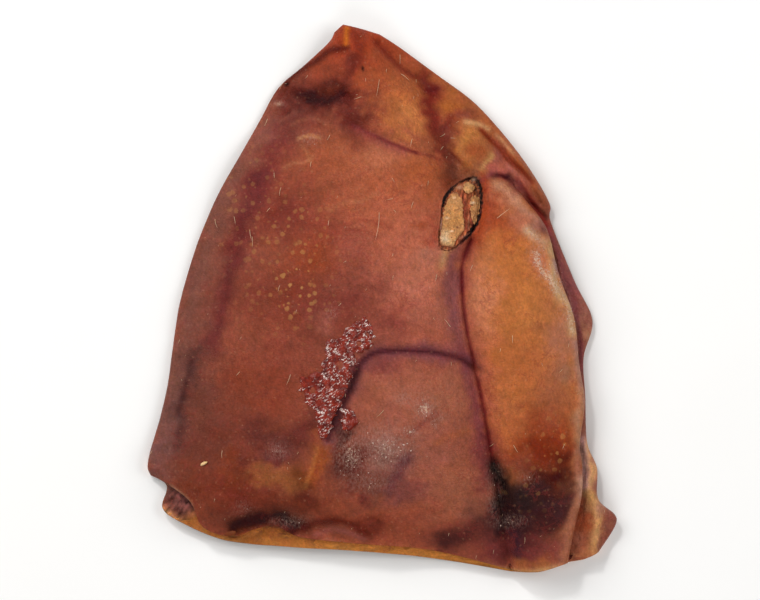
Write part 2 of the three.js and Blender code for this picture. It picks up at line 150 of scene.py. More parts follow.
# Swellings: middle, radii in mm, height in mm
SWELLINGS = [
    ([5.6, -25.8], [20, 28], 2.8),
    ([-5.4, 43.4], [5, 15], 1.3),
    ([2.5, 33.4], [13, 17], 1.3),
    ([16.1, 31.1], [7, 11], 1.5),
    ([-14.8, -0.3], [34, 50], 1.6),
    ([-33.1, -36.3], [17, 13], 1.8),
    ([-7.6, -12.1], [8, 14], 0.8),
    ([27.5, 0.5], [14, 44], 1.8),
    ([28.6, -35.3], [13, 14], 1.4),
    ([41.8, -41.6], [6, 12], -1.8),
]
# The turned-up rim of the lower right strip: line, depth and half width
RIM = ([[37.4, -26.7], [38, -30.9], [37.6, -34.5], [38.9, -37.6], [39.2, -42.2], [38.6, -46.3]], -1.2, 1.3)
# The arch: how far it reaches along the ear in mm, and the powers that shape it across and along
HOLLOW_REACH = 83
HOLLOW_ACROSS = 1.25
HOLLOW_ALONG = 0.8
# Where the margins lift off the floor: middle, radii and height in mm
LIFTS = [
    ([-4, 50], [28, 30], 4),
    ([-27, 21], [20, 24], 1.8),
    ([-5, -46], [38, 26], 2),
    ([32, 7], [18, 22], 2.4),
    ([42, -38], [14, 16], 1.8),
]
FOLD_SHARE = 0.45  # share of the arch that the underside loses right of the inner fold
# Slow waves of the upper side: height in mm, and mm to a radian across and along
WAVES = [(0.3, 6.1, 17), (0.3, -13, 7.3)]
WOUND_BLOCK = ([14, 15.4], [13, 19], 3)  # the underside is lower here, so that the wound has flesh under it

CHORDS = 8  # short chords to each stretch of a line, when a distance to it is worked out
RIPPLE_WAVES = 20
RIPPLE_SPREAD = (0.7, 1.4)  # how much the waves' lengths differ from their mean
# Unevenness in layers: height in mm, size in mm and seed
SKIN_LUMPS = [(0.2, 15, 1), (0.11, 6, 2), (0.05, 2.6, 3)]
UNDER_LUMPS = [(0.12, 11, 4), (0.05, 4, 5)]
CUT_FIBRES = [(0.35, 3.2, 6), (0.22, 1.4, 7)]
UNDER_IS_LUMPY = (0.3, 2)  # heights in mm over which the lumps of the underside come in
CUT_PATTERN = 14  # mm of pattern down the whole cut face

# Finer forms than the solid model has: sharp bottoms of the creases and small wrinkles
FINE_CREASES = [
    (MAIN_CREASE, 0.3, 0.5),
    (ARC_LINE, 0.15, 0.9),
    ([[27.6, 14], [28.8, 11.2], [30.6, 9.2], [31.8, 6], [32, 3], [33.6, 0.4]], 0.5, 0.7),
    ([[26.6, 12.8], [28.2, 10.8], [29.9, 8.6], [30.7, 6], [31.1, 3.2], [32.6, 0.2], [34, -3]], -0.45, 0.9),
    ([[25.8, 11.6], [27.8, 9.4], [29, 6.6], [29.6, 3.4]], 0.25, 0.8),
    (THIN_LINE, 0.25, 0.4),
    ([[20.4, 21.9], [21.8, 22], [23.2, 21.2], [24.8, 19.8], [26.6, 17.8], [28.4, 16.1], [29.8, 14.6]],
     1.6, 1),
    (PUFF_FOLD, 0.5, 0.7),
    (PUFF_TOP, 0.6, 1.4),
    ([[-1, 46.6], [1.4, 44.2], [3.6, 42], [6.4, 40.4]], 0.4, 0.9),
    ([[13.2, 5.5], [12.9, 0], [13.8, -6], [15.2, -12]], 0.3, 0.6),
    ([[14, 7.5], [13.8, 0.5], [14.6, -6.5], [16.2, -14], [17.6, -20.5]], 0.25, 0.5),
    ([[20.8, 29.6], [22.9, 26.2], [26.6, 21.6], [29, 17.4]], 0.5, 0.6),
    ([[-30, -43.4], [-24, -41.4], [-19, -40], [-13.5, -41.6], [-7, -43.8]], 0.5, 0.8),
    ([[24.5, -41], [29, -42.6], [33, -41.8]], 0.4, 0.9),
    ([[-12.5, -23.8], [-11.6, -29], [-13.8, -36]], 0.25, 0.7),
    ([[-9.6, -26.4], [-10.4, -31], [-11.4, -34.6]], -0.3, 0.5),
    ([[22.6, 25.8], [24.6, 23.8], [26.8, 20.8], [28.8, 17.4]], 0.45, 0.7),
    ([[23.2, 27], [25.4, 24.8], [27.6, 21.6]], -0.4, 0.7),
    ([[2, -23.5], [5, -21], [8.6, -19.2]], 0.16, 0.8),
    ([[6.6, -26.6], [9.8, -24.4], [12.6, -22.6]], 0.14, 0.8),
    ([[5, -30.5], [8.4, -28], [12.2, -26]], 0.14, 0.8),
    ([[9, -33.5], [12, -31], [15, -29.6]], 0.14, 0.8),
    ([[-1.6, -19.6], [1.2, -17.6], [4.6, -16.6]], 0.12, 0.8),
]


def smooth(x, start, end):
    """Share t of the way from start to end, eased as 3 t^2 - 2 t^3."""
    t = np.clip((x - start) / (end - start), 0, 1)
    return t * t * (3 - 2 * t)


def crowd(s, start, end):
    """Even steps crowded towards both ends: s^start at the start turns into 1 - (1 - s)^end."""
    return s**start * (1 - s) + (1 - (1 - s) ** end) * s


def spline(points, t, scale=PERCENT):
    """Uniform Catmull-Rom curve through points at shares t: the cubic whose slope at each point is half
    the step between its neighbours."""
    points = np.asarray(points, float) * scale
    last = len(points) - 1
    along = np.clip(t, 0, 1) * last
    i = np.minimum(np.floor(along), last).astype(int)
    w = (along - i)[..., None]
    before, here = points[np.maximum(i - 1, 0)], points[i]
    after, next_one = points[np.minimum(i + 1, last)], points[np.minimum(i + 2, last)]
    enter, leave = (after - before) / 2, (next_one - here) / 2
    cubic = (2 * here - 2 * after + enter + leave) * w**3
    return cubic + (-3 * here + 3 * after - 2 * enter - leave) * w**2 + enter * w + here


def distance(xy, points):
    """Distance from places to a curve, the least over its short chords."""
    chords = spline(points, np.linspace(0, 1, CHORDS * (len(points) - 1) + 1))
    nearest = np.full(xy.shape[:-1], np.inf)
    for start, end in zip(chords[:-1], chords[1:]):
        along = end - start
        reach = xy - start
        share = np.clip((reach @ along) / (along @ along), 0, 1)
        gap = reach - share[..., None] * along
        nearest = np.minimum(nearest, gap[..., 0] ** 2 + gap[..., 1] ** 2)
    return np.sqrt(nearest)


def furrow(xy, crease):
    """A furrow along a line, as deep as a bell curve of the distance."""
    line, depth, width = crease
    return -depth * np.exp(-((distance(xy, line) / width) ** 2))


def swell(xy, swelling):
    """height (1 - r^2)^2 inside an ellipse, where r is 1 on its outline."""
    at, radii, height = swelling
    offset = (xy - np.array(at) * PERCENT) / radii
    return height * np.maximum(0, 1 - (offset**2).sum(-1)) ** 2


def total(shape, xy, items):
    """Sum of one kind of shape over a table of it."""
    return sum(shape(xy, item) for item in items)


def ripple(xy, size, seed):
    """Smooth unevenness of unit spread: a sum of waves of about one length in seeded directions."""
    rng = np.random.default_rng(seed)
    angle, phase = rng.uniform(0, 2 * math.pi, (2, RIPPLE_WAVES))
    wave = 2 * math.pi / (size * rng.uniform(*RIPPLE_SPREAD, RIPPLE_WAVES))
    directions = np.stack([np.cos(angle), np.sin(angle)]) * wave
    return np.cos(xy @ directions + phase).sum(-1) / math.sqrt(RIPPLE_WAVES / 2)


def ripples(xy, layers):
    """Unevenness in layers, each a height times a ripple of its own size."""
    return sum(height * ripple(xy, size, seed) for height, size, seed in layers)


def drift(xy, size, seed):
    """How far places wander across and along, as two ripples."""
    return np.stack([ripple(xy, size, seed), ripple(xy, size, seed + 1)], -1)


def opening(v):
    """How far the crevice under the lip is open in a row, from 0 to 1."""
    return smooth(v, *CREVICE_OPENS)


def plan(c, v, cut):
    """Plan position of column c and row v: between the guides, bent near the base to the cut edge."""
    c, v = np.broadcast_arrays(c, v)
    k = np.clip(np.floor(c), 0, 2).astype(int)[None, ..., None]
    share = c[..., None] - k[0]

    def straight(w):
        """Places on straight lines between the guides."""
        sides = np.stack([spline(side, w) for side in GUIDES])
        near, far = np.take_along_axis(sides, k, 0)[0], np.take_along_axis(sides, k + 1, 0)[0]
        return near + (far - near) * share

    edge = np.where((c < 1)[..., None], spline(cut[0], c), spline(cut[1], (c - 1) / 2))
    reach = np.maximum(0, 1 - (1 - v) / CUT_REACH) ** 2
    return straight(v) + (edge - straight(np.ones_like(v))) * reach[..., None]


def spread(v, k):
    """Width of a row between two guides."""
    return np.linalg.norm(spline(GUIDES[k], v) - spline(GUIDES[k + 1], v), axis=-1)


def from_left(c, v):
    """How far a column lies from the left margin along its row, up to the lip."""
    return np.minimum(c, 1) * spread(v, 0) + np.clip(c - 1, 0, 1) * spread(v, 1)


def sheet(c, v, xy):
    """Heights of the underside and the upper side: the arch, lifts, creases and swellings, plus the
    thickness. Right of the lip the upper side drops to the layer under the band."""
    share = from_left(c, v) / (spread(v, 0) + spread(v, 1))
    across = np.maximum(0, 4 * share * (1 - share)) ** HOLLOW_ACROSS
    along = np.maximum(0, 1 - (xy[..., 1] / HOLLOW_REACH) ** 2) ** HOLLOW_ALONG
    arch = ARCH * across * along
    folded = 1 - FOLD_SHARE * opening(v) * smooth(c, *INNER_FOLD)
    lifts = total(swell, xy, LIFTS) - SETTLE
    creases = total(furrow, xy, CREASES)
    low = np.maximum(0, arch * folded + lifts + BEND * creases - swell(xy, WOUND_BLOCK))
    waves = sum(height * np.sin(xy[..., 0] / x + xy[..., 1] / y) for height, x, y in WAVES)
    rise = np.clip((c - 1) / BAND_RISE, 0, 1)
    pleat = PLEAT * smooth(v, *PLEAT_FILLS) * rise * (2 - rise)
    strip = np.where(c < 2, 0, furrow(xy, RIM) - opening(v) * (2 * LIP_RADIUS + CREVICE_GAP))
    rolled = BASE_ROLL * smooth(v, *SKINS_ROLL) * (1 - ROLL_AT_BAND * smooth(c, 1, 2))
    thick = SHEET + BASE_EXTRA * smooth(-xy[..., 1], BASE_FROM, LENGTH / 2) + pleat + strip - rolled
    relief = creases + total(swell, xy, SWELLINGS) + waves
    return low, np.maximum(low + LEAST_SHEET, np.maximum(0, arch + lifts) + thick + relief)


def rounding(c, v, xy, cut):
    """0 at a free margin and 1 away from it, as a quarter circle."""
    right = np.maximum(0, 2 - c) * spread(v, 1) + np.minimum(1, 3 - c) * spread(v, 2)
    tip = np.linalg.norm(xy - plan(c, np.zeros_like(v), cut), axis=-1)
    product = 1
    for gap in (from_left(c, v), right, tip):
        product = product * np.sqrt(1 - (1 - np.clip(gap / EDGE_RADIUS, 0, 1)) ** 2)
    return product


# The wound as a closed outline
WOUND_OUTLINE = [[16.8, 22.2], [18, 20.9], [18.4, 18.7], [18.2, 15.6], [17.4, 13.2], [16.2, 11.5],
                 [14.6, 10], [13.1, 8.9], [11.8, 8.6], [10.5, 9.2], [10.2, 11.4], [10.5, 13.6], [10.8, 15.7],
                 [11.1, 17.8], [12.1, 19.6], [14.4, 21.4]]
# Pieces of gristle: closed outline, height over the wound's rim in mm, rings and points around
GRISTLE = {
    "gristle_large": ([[13.4, 19.4], [14.2, 18.8], [14.8, 17.4], [14.9, 15.6], [15.1, 13.8], [15, 12.4],
                       [14.4, 11.5], [13.6, 10.5], [12.9, 9.3], [11.6, 9.4], [10.6, 10], [10.6, 11.8],
                       [10.95, 13], [11.1, 14.8], [11.4, 16.6], [12.2, 18.3], [12.8, 19.2]], 0, 30, 150),
    "gristle_plug": ([[15.9, 21.2], [16.7, 20.8], [17, 20.1], [16.6, 19.4], [15.8, 19.1], [15.1, 19.4],
                      [14.8, 20.1], [15.1, 20.9]], 0.1, 14, 60),
    "gristle_small": ([[17.2, 18.9], [17.8, 18.2], [17.9, 16.6], [17.6, 14.9], [16.9, 13.4], [16.3, 14.6],
                       [16.1, 16.4], [16.2, 18.1]], -0.1, 30, 150),
}
# Patches of dried juice: left edge and right edge from top to bottom, steps along and across
CRUSTS = {
    "juice_crust_large": (
        [[-3, -3], [-5.7, -5], [-8.1, -7], [-10.7, -8.5], [-10.5, -11], [-11.6, -13.6],
         [-14.7, -14.8], [-14.3, -17.8], [-12.7, -19.9], [-11.7, -23.2], [-10.8, -26]],
        [[-3, -3], [-1.2, -5.6], [-1.4, -8.1], [-3.7, -9.7], [-4.8, -11.9], [-5.2, -14.8],
         [-6.3, -17], [-7.9, -19.9], [-8.7, -23.2], [-10.8, -26]],
        190, 60,
    ),
    "juice_crust_small": (
        [[-5.7, -19.4], [-7, -20.5], [-7.9, -21.6], [-7.7, -22.9], [-7.2, -23.8]],
        [[-5.7, -19.4], [-4.6, -20.7], [-4.3, -22.1], [-5, -23.4], [-7.2, -23.8]],
        50, 34,
    ),
}
# Where skin shows through the crust, and where the glaze carries less foam and fewer painted glints: middle
# and radii of an oval
BARE_SPOTS = [([-7.4, -11.8], [1.9, 1.5]), ([-4, -8.2], [1.3, 1]), ([-12.4, -16.6], [1.2, 1.6])]
CLEAR_GLAZE = [([-13.4, -14.2], [3.2, 4]), ([-4.8, -22.4], [3, 2.2]), ([-5, -6.6], [1.6, 1.2])]
WOUND_FLOOR = -0.5  # mm, floor of the wound against the skin round it
WOUND_PIT = -2.2  # mm, pit in the skin under the wound's own surface
PIT_WALL = (0.86, 1.06)  # shares of the wound's reach between which the pit ends

# What the camera sees, in mm, on a plane at the height of the skin
FRAME_WIDTH = 228.2
FRAME_MIDDLE = [-0.45, -0.45]
FRAME_LEVEL = 8
LENS = 180  # mm
FAR_CLIP = 10  # metres
FLOOR_SIZE = 3  # metres
SKIN_GLOSS = 0.46  # roughness of the skin

# Soft lights: place and size in metres, share of the power. They point at the origin
LIGHTS = {
    "key_light": ((-0.7, 0.5, 0.7), 0.8, 0.75),
    "side_light": ((0.85, 0.1, 0.65), 0.8, 0.55),
    "low_light": ((-0.1, -0.9, 0.6), 0.8, 0.35),
    "glint_light": ((-0.35, 0.75, 0.85), 0.14, 0.35),
}

# Where pale follicles show: middle and radii of an oval, and how clearly
FOLLICLES = [([-15.5, 2.5], [9, 12], 0.6), ([-17, 8], [15, 20], 0.35), ([-26, 18], [14, 20], 0.22),
             ([31, -27], [7, 9], 0.36), ([27, -35], [9, 6], 0.14)]


def ring(points, t):
    """Closed Catmull-Rom curve through points."""
    count = len(points)
    return spline(points[-1:] + points + points[:2], (1 + t * count) / (count + 2))


OUTLINE_STEPS = 240


def reach_of(xy, outline):
    """Distance from the middle of a closed outline, as a share of the outline's own at that angle."""
    edge = ring(outline, np.linspace(0, 1, OUTLINE_STEPS, endpoint=False))
    middle = edge.mean(0)
    spokes, offset = edge - middle, xy - middle
    angles, own = np.arctan2(spokes[:, 1], spokes[:, 0]), np.linalg.norm(spokes, axis=1)
    here = np.arctan2(offset[..., 1], offset[..., 0])
    return np.linalg.norm(offset, axis=-1) / np.interp(here, angles, own, period=2 * math.pi)


def fine_relief(xy):
    """Lumps of three sizes, the sharp bottoms of the creases, and the pit under the wound."""
    pit = WOUND_PIT * (1 - smooth(reach_of(xy, WOUND_OUTLINE), *PIT_WALL))
    return ripples(xy, SKIN_LUMPS) + total(furrow, xy, FINE_CREASES) + pit


def upper_points(c, v, relief=True):
    """Points of the upper side. The band's own edge is rounded down to the lip."""
    c, v = np.broadcast_arrays(c, v)
    xy = plan(c, v, UPPER_CUT)
    low, high = sheet(c, v, xy)
    inside = rounding(c, v, xy, UPPER_CUT)
    lip = np.clip(1 - (2 - c) * spread(v, 1) / LIP_RADIUS, 0, 1)
    curl = np.where(c < 2, opening(v) * LIP_RADIUS * (1 - np.sqrt(1 - lip**2)), 0)
    z = high - (1 - inside) * (high - low) / 2 - curl
    if relief:
        z = z + inside * fine_relief(xy)
    return np.concatenate([xy, z[..., None]], -1)


def under_points(c, v):
    """Points of the underside, pressed flat on the floor and a little lumpy in the hollow."""
    c, v = np.broadcast_arrays(c, v)
    xy = plan(c, v, LOWER_CUT)
    low, high = sheet(c, v, xy)
    inside = rounding(c, v, xy, LOWER_CUT)
    lumps = ripples(xy, UNDER_LUMPS) * smooth(low, *UNDER_IS_LUMPY)
    z = np.maximum(low + lumps, 0) + (1 - inside) * (high - low) / 2
    return np.concatenate([xy, z[..., None]], -1)


# The crevice under the lip: steps in from the lip, and down from its middle, in mm
CREVICE = [[0, 0], [0.35 * LIP_RADIUS, 0.8 * LIP_RADIUS], [1.1 * LIP_RADIUS, LIP_RADIUS],
           [UNDERCUT, LIP_RADIUS + 0.5 * CREVICE_GAP], [0.55 * UNDERCUT, LIP_RADIUS + CREVICE_GAP],
           [0, LIP_RADIUS + CREVICE_GAP]]
LIP = 1.9999  # just short of the lip, on the band's side
FLAT_CREVICE = 0.5  # where the pleat is shut the crevice's columns take this much of the strip

# Mesh counts of the skin
ROWS = 250
BLADE_COLUMNS = 124
BAND_COLUMNS = 60
CREVICE_COLUMNS = 16
STRIP_COLUMNS = 25
UNDER_BLADE_COLUMNS = 130
CUT_ROWS = 20
CUT_CROWDING = 1.7  # rows of the cut face crowd towards the lower skin
INNER_ROW = ROWS // 15  # the cut face is hollowed towards the row this many above the edge
# How rows and columns crowd towards their start and their end: 1 is even
ROW_CROWDING = (1.35, 1.15)
BLADE_CROWDING = (1.4, 1.3)
BAND_CROWDING = (1.2, 1.6)
STRIP_CROWDING = (1, 1.6)
UNDER_CROWDING = (1.5, 1.1)


def crevice_points(v):
    """The lip's underside and the crevice, a plain strip where the pleat is shut."""
    t = np.arange(1, CREVICE_COLUMNS + 1) / (CREVICE_COLUMNS + 1)
    inwards, down = spline(CREVICE, t, 1).T
    v = v[:, None]
    flat = upper_points(2 + FLAT_CREVICE * t, v)
    lip = upper_points(np.full((1, 1), LIP), v, False)
    under = plan(2 - inwards / spread(v, 1), v, UPPER_CUT)
    folded = np.concatenate([under, (lip[..., 2] - down)[..., None]], -1)
    return flat + (folded - flat) * opening(v)[..., None]


def upper_side(v):
    """The whole upper side as a grid of points, and the column each point counts as when painted."""
    blade = crowd(np.arange(BLADE_COLUMNS) / BLADE_COLUMNS, *BLADE_CROWDING)
    band = 1 + crowd(np.arange(BAND_COLUMNS) / BAND_COLUMNS, *BAND_CROWDING)
    left = np.tile(np.concatenate([blade, band, [LIP]]), (len(v), 1))
    inside = np.tile(np.full(CREVICE_COLUMNS, LIP), (len(v), 1))
    first = 2 + (1 - opening(v)[:, None]) * FLAT_CREVICE
    right = first + (3 - first) * crowd(np.arange(STRIP_COLUMNS + 1) / STRIP_COLUMNS, *STRIP_CROWDING)
    points = [upper_points(left, v[:, None]), crevice_points(v), upper_points(right, v[:, None])]
    return np.concatenate(points, 1), np.concatenate([left, inside, right], 1)


def between(x, start, full, until, end):
    """1 between two places, fading to 0 before and after them."""
    return smooth(x, start, full) * (1 - smooth(x, until, end))


def cut_face(upper, lower, inner, across, share):
    """The cut face: straight from the upper skin's edge down to the lower one's, pushed inwards by a
    flattened sine, deep in the mouth and shallow elsewhere, with the unevenness of torn fibres."""
    groove = GROOVE_DEPTH * (1 + DEEPER_GROOVE * between(across, *DEEPER_STRETCH))
    groove = groove * between(across, *GROOVE_STRETCH)
    depth = groove + (MOUTH_DEPTH - groove) * between(across, *MOUTH_STRETCH)
    inwards = (inner - upper) * [1, 1, 0]
    inwards /= np.linalg.norm(inwards, axis=1, keepdims=True)
    fibres = ripples(np.stack(np.broadcast_arrays(upper[:, 0], CUT_PATTERN * share), -1), CUT_FIBRES)
    push = np.sin(math.pi * share) ** CUT_ROUNDNESS * (depth + fibres * np.minimum(1, depth))
    return upper + (lower - upper) * share[..., None] + inwards * push[..., None]


def grid_faces(index, up):
    """Quads between the neighbours of a grid of vertex numbers, triangles where two corners are one."""
    a, b, c, d = index[:-1, :-1], index[:-1, 1:], index[1:, 1:], index[1:, :-1]
    quads = np.stack((a, d, c, b) if up else (a, b, c, d), -1).reshape(-1, 4)
    fresh = quads != np.roll(quads, 1, axis=1)
    corners = fresh.sum(1)
    three = quads[corners == 3][fresh[corners == 3]].reshape(-1, 3)
    return quads[corners == 4].tolist() + three.tolist()


def shares(colour):
    """An sRGB hex value as three shares."""
    return np.array([int(colour[i:i + 2], 16) / 255 for i in (1, 3, 5)])


def linear(colour):
    """An sRGB colour, as a hex value or as shares, turned to linear light."""
    colour = np.clip(shares(colour) if isinstance(colour, str) else np.asarray(colour, float), 0, 1)
    return np.where(colour <= 0.04045, colour / 12.92, ((colour + 0.055) / 1.055) ** 2.4)


# Light that the gloss of the skin adds everywhere, taken off the painted colours, and the darkest tone
VEIL = 0.007
DARKEST = 0.0015
